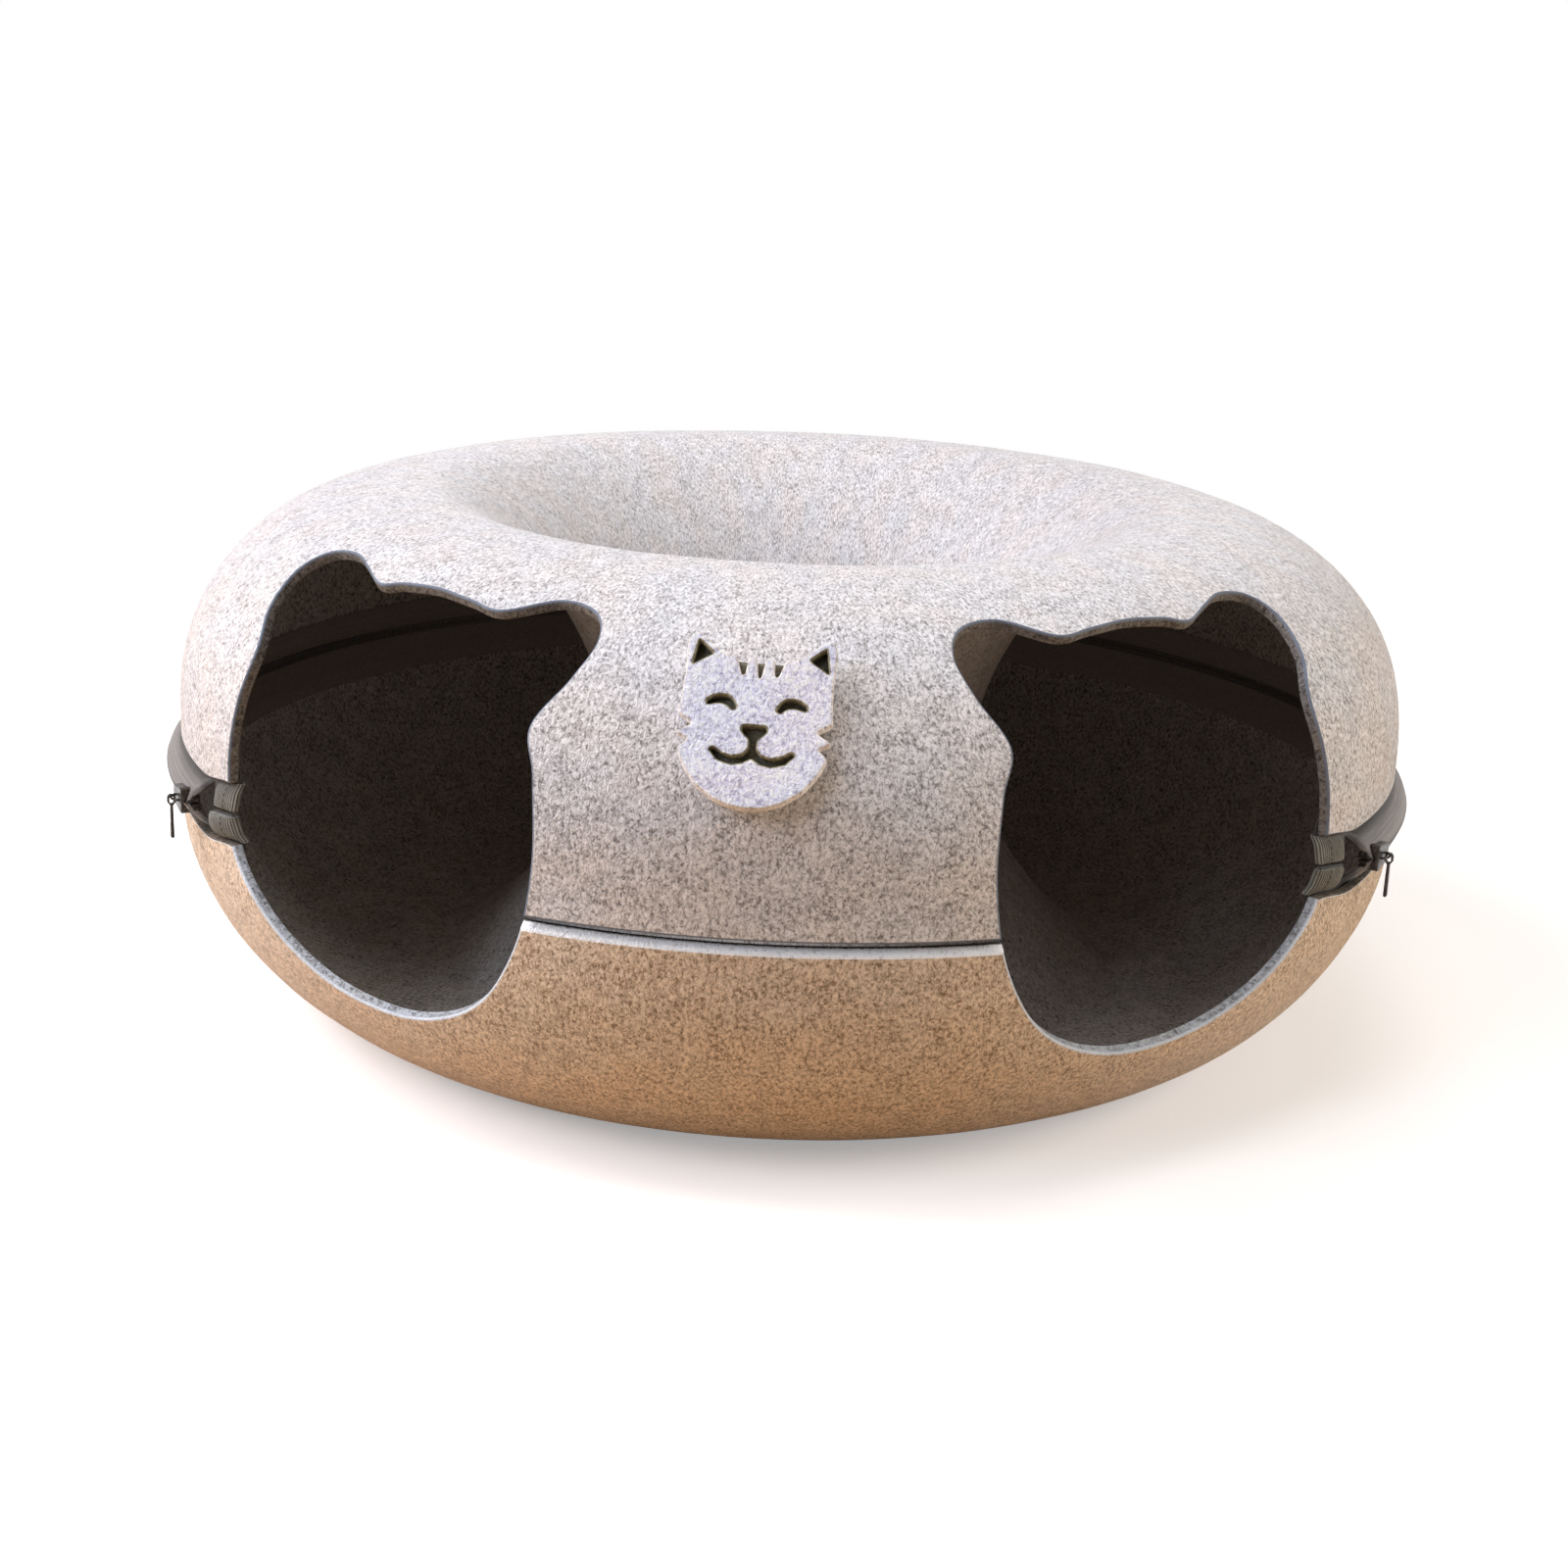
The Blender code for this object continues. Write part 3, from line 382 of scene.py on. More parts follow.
def new_object(name, verts, faces, materials, kinds=None, flats=None):
    """A smooth object; flats are the places that its texture is laid out by."""
    mesh = bpy.data.meshes.new(name)
    mesh.from_pydata([tuple(v) for v in verts], [], [tuple(f) for f in faces])
    for material in materials:
        mesh.materials.append(material)
    mesh.polygons.foreach_set("use_smooth", [True] * len(mesh.polygons))
    if kinds is not None:
        mesh.polygons.foreach_set("material_index", list(kinds))
    if flats is not None:
        corners = np.empty(len(mesh.loops), np.int32)
        mesh.loops.foreach_get("vertex_index", corners)
        layer = mesh.attributes.new("flat", "FLOAT_VECTOR", "CORNER")
        layer.data.foreach_set("vector", np.asarray(flats, np.float32)[corners].ravel())
    mesh.update()
    return in_scene(name, mesh)


def mend(thing, work):
    """Runs a function on an object's mesh."""
    body = bmesh.new()
    body.from_mesh(thing.data)
    work(body)
    body.to_mesh(thing.data)
    body.free()


def face_outwards(body):
    bmesh.ops.recalc_face_normals(body, faces=body.faces)


def weld_seam(body):
    """Joins the two borders where a shell was laid open at the back."""
    back = [v for v in body.verts if v.co.y > 0.0 and abs(v.co.x) < 1e-5]
    bmesh.ops.remove_doubles(body, verts=back, dist=2e-6)


def tube_faces(rings, size):
    """Faces between closed rings of points."""
    faces = []
    for ring in range(0, (rings - 1) * size, size):
        for index in range(size):
            after = (index + 1) % size
            faces.append((ring + index, ring + after, ring + size + after, ring + size + index))
    return faces


def strip_solid(name, rings, materials, flats=None):
    """A closed strip through closed rings, shut at its ends; a second material goes on its back."""
    count = len(rings[0])
    faces = tube_faces(len(rings), count)
    kinds = [(index % count) // (count // 2) % len(materials) for index in range(len(faces))]
    last = (len(rings) - 1) * count
    for index in range(count // 2 - 1):
        faces.append((count - 1 - index, count - 2 - index, index + 1, index))
        faces.append((last + index, last + index + 1, last + count - 2 - index, last + count - 1 - index))
    kinds += [0] * (len(faces) - len(kinds))
    made = new_object(name, [point for ring in rings for point in ring], faces, materials, kinds, flats)
    mend(made, face_outwards)
    return made


def dress(piece, node):
    """Fixes a piece to the tunnel in place of a node, which it hides."""
    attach(piece, "tunnel")
    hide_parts(node)


def rounded_rows(rounding):
    """The cut edge from the outer face to the inner one, as (way in from the cut, depth)."""
    rows = []
    for step in range(1, EDGE_TURNS + 1):
        turn = step / EDGE_TURNS * math.pi / 2.0
        rows.append((rounding * (1.0 - math.sin(turn)), EDGE_ROUNDING * (1.0 - math.cos(turn))))
    middle = [(0.0, FELT * share) for share in EDGE_MIDDLE_SHARES]
    return rows + middle + [(inward, FELT - depth) for inward, depth in reversed(rows)]


class Plate:
    """A sheet of felt with an outer and an inner face, as places (along, down, depth)."""

    def __init__(self, verts, faces, kinds):
        self.count = len(verts)
        self.places = [np.column_stack([verts, np.full(self.count, depth)]) for depth in (0.0, FELT)]
        self.faces = [tuple(f) for f in faces] + [tuple(f[::-1] + self.count) for f in faces]
        self.kinds = [kind for kind in kinds for _ in faces]
        self.total = 2 * self.count

    def add_edge(self, ids, rows, flip, closed, kind_at):
        """A cut face from the outer points with these numbers, through rows of places."""
        chain = [ids]
        for line, depth in rows:
            self.places.append(np.column_stack([line, np.full(len(line), depth)]))
            chain.append(list(range(self.total, self.total + len(line))))
            self.total += len(line)
        chain.append([i + self.count for i in ids])
        for level, (row, after) in enumerate(zip(chain, chain[1:])):
            for i in range(len(row) if closed else len(row) - 1):
                j = (i + 1) % len(row)
                quad = (row[i], row[j], after[j], after[i])
                self.faces.append(quad if flip else quad[::-1])
                self.kinds.append(kind_at(i, level))


def slanted_rows(front, sign):
    """The front edge's rows; at the pillar the bottom shell's edge slants down to the inside."""
    rows = []
    for inward, depth in rounded_rows(EDGE_ROUNDING):
        line = offset(front, inward)
        if sign < 0.0:
            pillar = np.abs(line[:, 1] - inward - SPLIT_GAP / 2.0) < SPLIT_GAP * 0.05
            line[:, 1] -= RIM_SLANT * depth / FELT * pillar
        rows.append((line, depth))
    return rows


def swell(section, solid, places, end):
    """Moves a shell's points by the felt's slow waves."""
    down = places[:, 1]
    fade = np.clip((down - (RIM_SET_BACK + WAVE_STILL)) / WAVE_FADE, 0.0, 1.0)
    fade *= np.clip((end - WAVE_STILL - down) / WAVE_FADE, 0.0, 1.0)
    moving = np.nonzero(fade > 0.0)[0]
    radius, height, out_r, out_z = section.at(down[moving])
    angle = places[moving, 0] / OUTER_RADIUS
    base = around(angle, radius, height)
    broad = wave(base, BROAD_WAVE[0], 3.0 if section.upwards else 8.0) * BROAD_WAVE[1]
    lift = WAVE * (broad + wave(base, FINE_WAVE[0], 5.0) * FINE_WAVE[1]) * fade[moving]
    if not section.upwards:
        lift *= np.clip(height / GROUND_FADE, 0.0, 1.0)
    solid[moving] += around(angle, out_r, out_z) * lift[:, None]


def make_shell(name, node, section, materials):
    """A moulded felt shell with rounded cut edges round its border and its doorways."""
    front = front_line(section.sign)
    end = section.length - CLEARANCE / 2.0
    half = math.pi * OUTER_RADIUS
    columns = int(2.0 * half / GRID_ALONG)
    seam = np.array([(-half + 2.0 * half * i / columns, end) for i in range(columns + 1)])
    front_in = offset(front, EDGE_ROUNDING)
    seam_in = seam - (0.0, EDGE_ROUNDING)
    rise = np.linspace(front_in[-1][1], seam_in[-1][1], int((end - RIM_SET_BACK) / GRID_DOWN))[1:-1]
    right_side = np.array([(half, down) for down in rise])
    border = np.concatenate([front_in, right_side, seam_in[::-1], right_side[::-1] * (-1.0, 1.0)])

    near = []
    for gap, stride in NEAR_ROWS:
        row = offset(front, EDGE_ROUNDING + gap)[::stride]
        near.append(row[distance_to(row, front_in) > gap * 0.93])
    low = (-half + GRID_ALONG / 2.0, 0.0)
    high = (half - GRID_ALONG * 0.4, end - EDGE_ROUNDING - GRID_DOWN * 0.5)
    grid = staggered(low, high, (GRID_ALONG, GRID_DOWN))
    grid = grid[inside_polygon(grid, border)]
    grid = grid[distance_to(grid, front_in) > NEAR_ROWS[-1][0] + GRID_DOWN * 0.45]
    verts, faces, order = triangulate(np.concatenate([border, *near, grid]), [list(range(len(border)))])
    plate = Plate(verts, faces if section.upwards else faces[:, ::-1], (OUTSIDE, INSIDE))

    rims = np.array([rim_at(along / OUTER_RADIUS, section.sign) for along in front[:, 0]])
    sewn = np.abs(front[:, 1] - rims) < CLEARANCE
    sill = np.abs(front[:, 1] - SPLIT_GAP / 2.0) < CLEARANCE

    def kind_at(i, level):
        # The sill and the rims over the zip take materials with painted shade.
        if sill[i] and sill[i + 1] and not section.upwards:
            return SILL
        return SEWN_RIM if sewn[i] and sewn[i + 1] and level else CUT

    ids = [order[i] for i in range(len(front))]
    plate.add_edge(ids, slanted_rows(front, section.sign), not section.upwards, False, kind_at)
    last = len(front) + len(rise) + len(seam) - 1
    ids = [order[last - i] for i in range(len(seam))]
    rows = [(seam - (0.0, inward), depth) for inward, depth in rounded_rows(EDGE_ROUNDING)]
    plate.add_edge(ids, rows, section.upwards, False, lambda i, level: CUT)

    places = np.concatenate(plate.places)
    solid = section.points(places)
    swell(section, solid, places, end)
    made = new_object(name, solid, plate.faces, materials, plate.kinds, places)
    mend(made, weld_seam)
    dress(made, node)


# Materials


class Nodes:
    """A short way to write a tree of shader nodes. Colours are written without alpha."""

    def __init__(self, owner):
        owner.use_nodes = True
        self.owner = owner
        self.tree = owner.node_tree
        self.shader = self.tree.nodes.get("Principled BSDF")

    def put(self, socket, value):
        if isinstance(value, bpy.types.NodeSocket):
            self.tree.links.new(value, socket)
        else:
            socket.default_value = (*value, 1.0) if socket.type == "RGBA" else value

    def add(self, kind, inputs, **settings):
        """Adds a node, fills its inputs by name or number, and gives its outputs."""
        node = self.tree.nodes.new("ShaderNode" + kind)
        for key, value in settings.items():
            setattr(node, key, value)
        for key, value in inputs.items():
            self.put(node.inputs[key], value)
        return node.outputs

    def math(self, operation, a, b=0.0, clamp=False):
        return self.add("Math", {0: a, 1: b}, operation=operation, use_clamp=clamp)[0]

    def times(self, a, b):
        return self.math("MULTIPLY", a, b)

    def total(self, *parts):
        """The sum of values times their weights."""
        found = None
        for value, weight in parts:
            part = value if weight == 1.0 else self.times(value, weight)
            found = part if found is None else self.math("ADD", found, part)
        return found

    def most(self, values):
        found = values[0]
        for value in values[1:]:
            found = self.math("MAXIMUM", found, value)
        return found

    def mix(self, share, a, b, blend_type="MIX"):
        return self.add("Mix", {0: share, 6: a, 7: b}, data_type="RGBA", blend_type=blend_type)[2]

    def spread(self, value, low, high, to_low=0.0, to_high=1.0):
        limits = {0: value, 1: low, 2: high, 3: to_low, 4: to_high}
        return self.add("MapRange", limits, interpolation_type="SMOOTHSTEP")[0]

    def objects(self):
        return self.add("TexCoord", {})["Object"]

    def flat(self):
        return self.add("Attribute", {}, attribute_name="flat")["Vector"]

    def split(self, vector):
        return self.add("SeparateXYZ", {0: vector})

    def mapped(self, vector, scale=(1.0, 1.0, 1.0), turn=0.0, shift=(0.0, 0.0, 0.0)):
        if turn:
            vector = self.add("Mapping", {"Vector": vector, "Rotation": (0.0, 0.0, turn)})[0]
        return self.add("Mapping", {"Vector": vector, "Scale": scale, "Location": shift})[0]

    def noise(self, vector, scale, detail=2.0, rough=0.5, bend=0.0):
        shape = {"Scale": scale, "Detail": detail, "Roughness": rough, "Distortion": bend}
        return self.add("TexNoise", {"Vector": vector, **shape})[0]

    def rows(self, value, pitch):
        """Even rows along a length, from 0 to 1."""
        found = self.math("COSINE", self.times(value, math.tau / pitch))
        return self.math("ADD", self.times(found, 0.5), 0.5)

    def seen(self, *rays):
        """1 for what these kinds of ray see, and 0 for the light itself."""
        path = self.add("LightPath", {})
        return self.most([path["Is %s Ray" % ray] for ray in rays])

    def shade(self, inputs):
        for key, value in inputs.items():
            self.put(self.shader.inputs[key], value)

    def bump(self, height, strength, distance):
        found = self.add("Bump", {"Strength": strength, "Distance": distance, "Height": height})[0]
        self.shade({"Normal": found})

    def glow(self, strength):
        """A trace of warm light, for what stray light does in the tunnel's dark."""
        self.shade({"Emission Color": (1.0, 0.72, 0.55), "Emission Strength": strength})

    def finish(self, colour, roughness, metallic=0.0, sheen=0.0, specular=0.5):
        self.shade({
            "Base Color": colour, "Roughness": roughness, "Metallic": metallic, "Sheen Weight": sheen,
            "Sheen Roughness": 0.5, "Specular IOR Level": specular,
        })
        return self.owner


def new_material(name):
    return Nodes(bpy.data.materials.new(name))


SPECK_SCALE = 580.0
GRAIN_SCALE = 1350.0
CLOUD_SCALE = 90.0
HUE_SCALE = 28.0
COOL = 0.04
FIBRE_TURNS = (0.35, 1.15, 1.95, 2.75)
# Fibres: length, width, lean, seed of the first and step to the next, threshold
DARK_FIBRES = (0.0031, 0.001, 0.0, 11.0, 7.0, 0.64)
PALE_FIBRES = (0.0038, 0.00098, 0.4, 61.0, 5.0, 0.64)
HAIRS = (0.0085, 0.0012, 0.7, 31.0, 9.0, 0.73)
TAB_RIB = 0.0015


def fibres(n, place, length, width, lean, seed, seed_step, threshold):
    """Thin streaks that lie four ways on the felt, from 0 to 1."""
    found = []
    scale = (1.0 / length, 1.0 / width, 1.0 / length)
    for index, turn in enumerate(FIBRE_TURNS):
        at = seed + seed_step * index
        laid = n.mapped(place, scale, turn + lean, (at, at * 1.3, at * 0.7))
        found.append(n.spread(n.noise(laid, 1.0, 1.0, 0.5, 0.4), threshold - 0.08, threshold + 0.08))
    return n.most(found)


def felt(name, pale, middle, dark, contrast=1.0, sheen=0.36, rim=None, rim_depth=0.0013, glow=0.0):
    """Pressed needle felt of mixed pale and dark fibres; rim is the tint of a cut face's outer line."""
    n = new_material(name)
    flat = n.flat()
    place = n.mapped(flat, (1.0, 0.72, 1.0))
    cloud = n.noise(n.mapped(flat, shift=(3.1, 0.0, 0.0)), CLOUD_SCALE, 3.0, 0.6)
    speck = n.noise(place, SPECK_SCALE, 2.0, 0.65, 0.3)
    grain = n.noise(n.mapped(place, shift=(1.0, 2.0, 3.0)), GRAIN_SCALE, 1.0, 0.5)
    tone = n.total((speck, 0.57), (grain, 0.23), (cloud, 0.2))
    colour = n.mix(n.spread(tone, 0.5 - 0.07 / contrast, 0.5 + 0.09 / contrast), middle, pale)
    low = n.spread(tone, 0.5 - 0.115 / contrast, 0.5 - 0.01 / contrast, 0.95, 0.0)
    colour = n.mix(low, colour, dark)
    kinds = (DARK_FIBRES, PALE_FIBRES, HAIRS)
    dark_fibres, pale_fibres, hairs = (fibres(n, place, *kind) for kind in kinds)
    colour = n.mix(n.times(pale_fibres, 0.46 * contrast), colour, pale)
    colour = n.mix(n.times(dark_fibres, 0.4 * contrast), colour, dark)
    colour = n.mix(n.times(hairs, 0.36 * contrast), colour, dark)
    hue = n.noise(n.mapped(flat, shift=(0.0, 5.0, 2.0)), HUE_SCALE, 2.0, 0.5)
    warm = (1.0, 1.0 - COOL / 3.0, 1.0 - COOL)
    colour = n.mix(1.0, colour, n.mix(n.spread(hue, 0.35, 0.65), warm, warm[::-1]), "MULTIPLY")
    if rim:
        edge = n.total((n.split(flat)[2], 1.0), (speck, 0.0016))
        tint = n.mix(n.times(low, 0.25), rim, dark)
        colour = n.mix(n.spread(edge, rim_depth, rim_depth + 0.0011, 1.0, 0.0), colour, tint)
    n.glow(glow)
    n.bump(n.total((grain, 0.4), (pale_fibres, 0.6), (dark_fibres, -0.35), (speck, 1.0)), 0.6, 0.0005)
    return n.finish(colour, 0.95, sheen=sheen, specular=0.15)


def tape_cloth(name, pale, dark, shade_colour):
    """Satin zip tape: threads along the zip, faint streaks, and painted shade: a dark line along the slot
    at the free edge, and dark where the tape sinks low under the rims and into the parted recess.
    """
    n = new_material(name)
    flat = n.flat()
    run, height, stand = n.split(flat)
    streak = n.noise(n.mapped(flat, (30.0, 900.0, 900.0)), 1.0, 3.0, 0.6)
    broad = n.noise(n.mapped(flat, (9.0, 210.0, 210.0)), 1.0, 2.0, 0.5)
    threads = n.rows(n.total((height, 1.0), (stand, 0.6)), 0.0008)
    weave = n.total((threads, 0.6), (n.rows(run, 0.0007), 0.4))
    tone = n.total((streak, 0.45), (broad, 0.75), (weave, 0.16))
    colour = n.mix(n.spread(tone, 0.5, 0.88), dark, pale)
    # Painted shade along the slot between the two halves, and where the tape's stand-off is low.
    edge = n.spread(n.math("ABSOLUTE", height), 0.0003, 0.0016, 0.85, 0.0)
    edge = n.most([edge, n.spread(stand, -0.0008, 0.0024, 0.88, 0.0)])
    colour = n.mix(edge, colour, shade_colour)
    n.bump(n.math("ADD", weave, streak), 0.5, 0.00025)
    return n.finish(colour, 0.52, sheen=0.15, specular=0.4)


def twill_cloth(name, pale, middle, dark):
    """Ribbed twill: ribs across the tab, slanting threads on each, and stitches near the fold."""
    n = new_material(name)
    flat = n.flat()
    run, height, stand = n.split(flat)
    rib = n.math("SUBTRACT", 1.0, n.rows(run, TAB_RIB))
    slant = n.rows(n.total((height, 1.0), (run, 0.6)), 0.00075)
    fuzz = n.noise(flat, 1600.0, 2.0, 0.6)
    cloud = n.noise(n.mapped(flat, shift=(2.0, 1.0, 0.0)), 260.0, 2.0, 0.5)
    tone = n.total((rib, 0.5), (slant, 0.16), (fuzz, 0.3), (cloud, 0.3))
    colour = n.mix(n.spread(tone, 0.62, 0.98), middle, pale)
    # Darker where the tone is low: partly painted shade in the grooves between ribs, partly the weave's
    # random tone.
    colour = n.mix(n.spread(tone, 0.34, 0.64, 1.0, 0.0), colour, dark)
    walk = n.math("ABSOLUTE", n.math("SUBTRACT", n.math("ABSOLUTE", run), 0.0066))
    gaps = n.spread(n.rows(height, 0.0026), 0.2, 0.5)
    stitch = n.times(n.spread(walk, 0.0003, 0.0006, 1.0, 0.0), gaps)
    colour = n.mix(n.times(stitch, 0.8), colour, dark)
    n.bump(n.total((rib, 1.2), (slant, 0.5), (fuzz, 1.0), (stitch, -1.0)), 0.7, 0.0003)
    return n.finish(colour, 0.85, sheen=0.2, specular=0.2)


def plain_cloth(name, pale, dark, roughness=0.8, glow=0.0):
    n = new_material(name)
    n.glow(glow)
    tone = n.noise(n.objects(), 1400.0, 3.0, 0.6)
    n.bump(tone, 0.5, 0.0003)
    return n.finish(n.mix(n.spread(tone, 0.35, 0.65), dark, pale), roughness, sheen=0.1, specular=0.3)


def metal(name, dark, worn):
    """Dark plated zinc, a little worn and scratched."""
    n = new_material(name)
    place = n.objects()
    wear = n.noise(place, 520.0, 4.0, 0.65)
    scratch = n.noise(n.mapped(place, (250.0, 250.0, 3600.0)), 1.0, 2.0, 0.6)
    share = n.math("ADD", n.spread(wear, 0.54, 0.72), n.spread(scratch, 0.64, 0.72, 0.0, 0.5), True)
    n.bump(n.math("ADD", wear, scratch), 0.2, 0.0001)
    return n.finish(n.mix(share, dark, worn), n.spread(wear, 0.3, 0.7, 0.2, 0.4), metallic=0.8)


FELT_TOP = felt("felt_top", (0.92, 0.895, 0.92), (0.575, 0.55, 0.565), (0.2, 0.185, 0.18))
# Painted light: the base's warm tan stands in for warm light bounced up from the floor, on a felt as grey
# as the top.
FELT_BASE = felt("felt_base_painted_bounce", (0.9, 0.745, 0.595), (0.575, 0.43, 0.305), (0.23, 0.15, 0.085))
FELT_INSIDE = felt(
    "felt_inside", (0.78, 0.74, 0.72), (0.52, 0.48, 0.45), (0.18, 0.16, 0.145), sheen=0.0, glow=0.003
)
# Painted shade: the bottom shell's cut faces are darker than its felt, with a lighter outer line at the
# corner.
FELT_CUT = felt(
    "felt_cut", (0.5, 0.53, 0.58), (0.31, 0.325, 0.35), (0.1, 0.1, 0.1), rim=(0.66, 0.71, 0.78)
)
# Painted shade: the cut faces of the rims over the zip are dark brown for the shadow the rim casts on the
# tape.
FELT_RIM_SHADE = felt("felt_rim_painted_shade", (0.22, 0.185, 0.15), (0.12, 0.1, 0.08), (0.045, 0.035, 0.028), sheen=0.0)
# Painted light and shade: the bottom shell's edge at the pillar is near white along its outer line for the
# lit front of the sill, and near black further in for the shade in the gap above it.
FELT_SILL_SHADE = felt(
    "felt_sill_painted_shade", (0.05, 0.045, 0.04), (0.025, 0.022, 0.02), (0.012, 0.01, 0.009), sheen=0.0,
    rim=(0.95, 0.97, 1.0), rim_depth=0.0036
)
# Painted shade: the top shell's cut faces, which mostly face down, are darker still than the bottom's.
FELT_CUT_TOP = felt(
    "felt_cut_top", (0.27, 0.25, 0.235), (0.155, 0.14, 0.13), (0.05, 0.045, 0.04), sheen=0.0,
    rim=(0.2, 0.235, 0.3)
)
FELT_BADGE = felt("felt_badge", (0.96, 0.97, 1.0), (0.74, 0.745, 0.96), (0.37, 0.35, 0.46), 0.9)
FELT_BADGE_CUT = felt(
    "felt_badge_cut", (0.95, 0.91, 0.9), (0.74, 0.68, 0.66), (0.38, 0.32, 0.3), rim=(0.93, 0.93, 1.0)
)
# Painted shade: the walls of the badge's eye, ear and mouth holes are dark olive for the shade inside
# them.
FELT_BADGE_HOLE_SHADE = felt(
    "felt_badge_hole_painted_shade", (0.42, 0.38, 0.27), (0.26, 0.235, 0.165), (0.09, 0.08, 0.055), sheen=0.0
)
# The tape's last colour is its painted shade.
TAPE_CLOTH = tape_cloth("tape_cloth", (0.205, 0.19, 0.184), (0.105, 0.095, 0.09), (0.02, 0.015, 0.01))
TAPE_BACK = plain_cloth("tape_back", (0.14, 0.11, 0.1), (0.07, 0.055, 0.05), 0.9, 0.0105)
TWILL = twill_cloth("twill_cloth", (0.34, 0.345, 0.32), (0.17, 0.17, 0.15), (0.045, 0.038, 0.03))
# Shared by the real hook pad and by the sheet of painted shade behind the badge.
PAD_AND_SHADE_CLOTH = plain_cloth("pad_and_painted_shade_cloth", (0.23, 0.21, 0.15), (0.105, 0.095, 0.068), 0.95)
COIL = plain_cloth("coil_nylon", (0.05, 0.048, 0.045), (0.025, 0.024, 0.022), 0.4, 0.004)
METAL = metal("dark_metal", (0.028, 0.021, 0.016), (0.13, 0.105, 0.085))

make_shell("felt_shell_top", "top_shell", TOP, [FELT_TOP, FELT_INSIDE, FELT_CUT_TOP, FELT_RIM_SHADE])
make_shell(
    "felt_shell_bottom", "bottom_shell", BOTTOM, [FELT_BASE, FELT_INSIDE, FELT_CUT, FELT_RIM_SHADE, FELT_SILL_SHADE]
)


# The zip, its tapes and coils

TAPE = 0.0008
TAPE_HEM = 0.006
TAPE_HEM_DROP = 0.0005
SHOULDER = (0.0095, 0.0004)
BROW = (0.0045, 0.005)
TAPE_RIDGE = 0.007
SLOT_HALF = 0.00008
TAPE_OPEN_HEIGHT = 0.001
TAPE_OPEN_STAND_OFF = -0.0015
PARTED_HEIGHT = 0.0105
PARTED_STAND_OFF = -0.0046
HEM_STAND_OFF = -(FELT + 0.00055)
TAPE_ACROSS = 22
TAPE_STEP = 0.003
TAPE_END_STEP = 0.0011
TAPE_END_HEIGHT = 0.006
TAPE_END_SHIFT = 0.0006
TAPE_END_HOLD = 0.004
TAPE_END_REACH = 0.006
# Folds in the tape: along, across, seed, depth
TAPE_FOLDS = ((9.0, 5.0, 3.0, 0.00035), (30.0, 9.0, 7.0, 0.00012))
SLIDER_ANGLE = math.radians(61.8)
SLIDER_LENGTH = 0.016
COIL_WIDTH = 0.0028
COIL_DEPTH = 0.0031
COIL_PITCH = 0.0017
COIL_WIRE = 0.0004
COIL_OVERLAP = 0.00055
COIL_SIDES = 5
COIL_LEAD = 0.001
# One loop of the coil, as shares of its width and depth
COIL_LOOP = (
    (0.04, 0.18), (0.04, 0.62), (0.22, 0.9), (0.62, 0.86), (0.92, 0.62), (0.94, 0.3), (0.66, 0.1),
    (0.24, 0.06),
)


def along_ring(length):
    return length / OUTER_RADIUS


def zip_point(angle, height, stand_off):
    radius = OUTER_RADIUS + stand_off
    return (radius * math.sin(angle), -radius * math.cos(angle), SPLIT_HEIGHT + zip_rise(angle) + height)


MOUTH_ANGLE = SLIDER_ANGLE - along_ring(SLIDER_LENGTH / 2.0)
PARTED_ANGLE = MOUTH_ANGLE - along_ring(0.0072)
OPEN_ANGLE = PARTED_ANGLE - along_ring(0.008)

# The tape's outer face as (height, stand-off), from its hem to its free edge
HEM = ((RIM_SET_BACK + TAPE_HEM, HEM_STAND_OFF), (RIM_SET_BACK - TAPE_HEM_DROP, HEM_STAND_OFF))
CLOSED_FACE = HEM + (SHOULDER, BROW, (SLOT_HALF, TAPE_RIDGE))
PARTED_FACE = HEM + tuple(
    (blend(PARTED_HEIGHT, RIM_SET_BACK, share), blend(PARTED_STAND_OFF, HEM_STAND_OFF, share))
    for share in (0.6, 0.3, 0.0)
)
OPEN_FACE = HEM + (
    (SHOULDER[0], blend(HEM_STAND_OFF, TAPE_OPEN_STAND_OFF, 0.5)),
    (BROW[0], blend(HEM_STAND_OFF, TAPE_OPEN_STAND_OFF, 0.8)),
    (TAPE_OPEN_HEIGHT, TAPE_OPEN_STAND_OFF),
)


def face_at(turn):
    """The tape's outer face at an angle from the front."""
    if turn <= PARTED_ANGLE:
        share = ease(turn, OPEN_ANGLE, PARTED_ANGLE)
        pair = OPEN_FACE, PARTED_FACE
    else:
        share = ease(turn, PARTED_ANGLE, MOUTH_ANGLE)
        pair = PARTED_FACE, CLOSED_FACE
    return [tuple(blend(a, b, share) for a, b in zip(p, q)) for p, q in zip(*pair)]


def side_of(line):
    """Each point's direction to the left of a line."""
    sides = []
    for index in range(len(line)):
        run = line[min(index + 1, len(line) - 1)] - line[max(index - 1, 0)]
        run.normalize()
        sides.append(Vector((-run.y, run.x)))
    return sides


def door_edge(side, heights):
    """Angles of the doorway's far side at heights on the zip."""
    chain = []
    for across, up in DOOR_LOOP:
        section = door_section(up)
        height = section.at(abs(up) * section.wall_length)[1] - SPLIT_HEIGHT - ZIP_RISE
        angle = DOOR_ANGLE - across * DOOR_HALF_ANGLE
        if angle > DOOR_ANGLE + math.radians(10.0):
            chain.append((height, angle))
    return np.interp(np.array(heights) * side, *np.array(sorted(chain)).T)


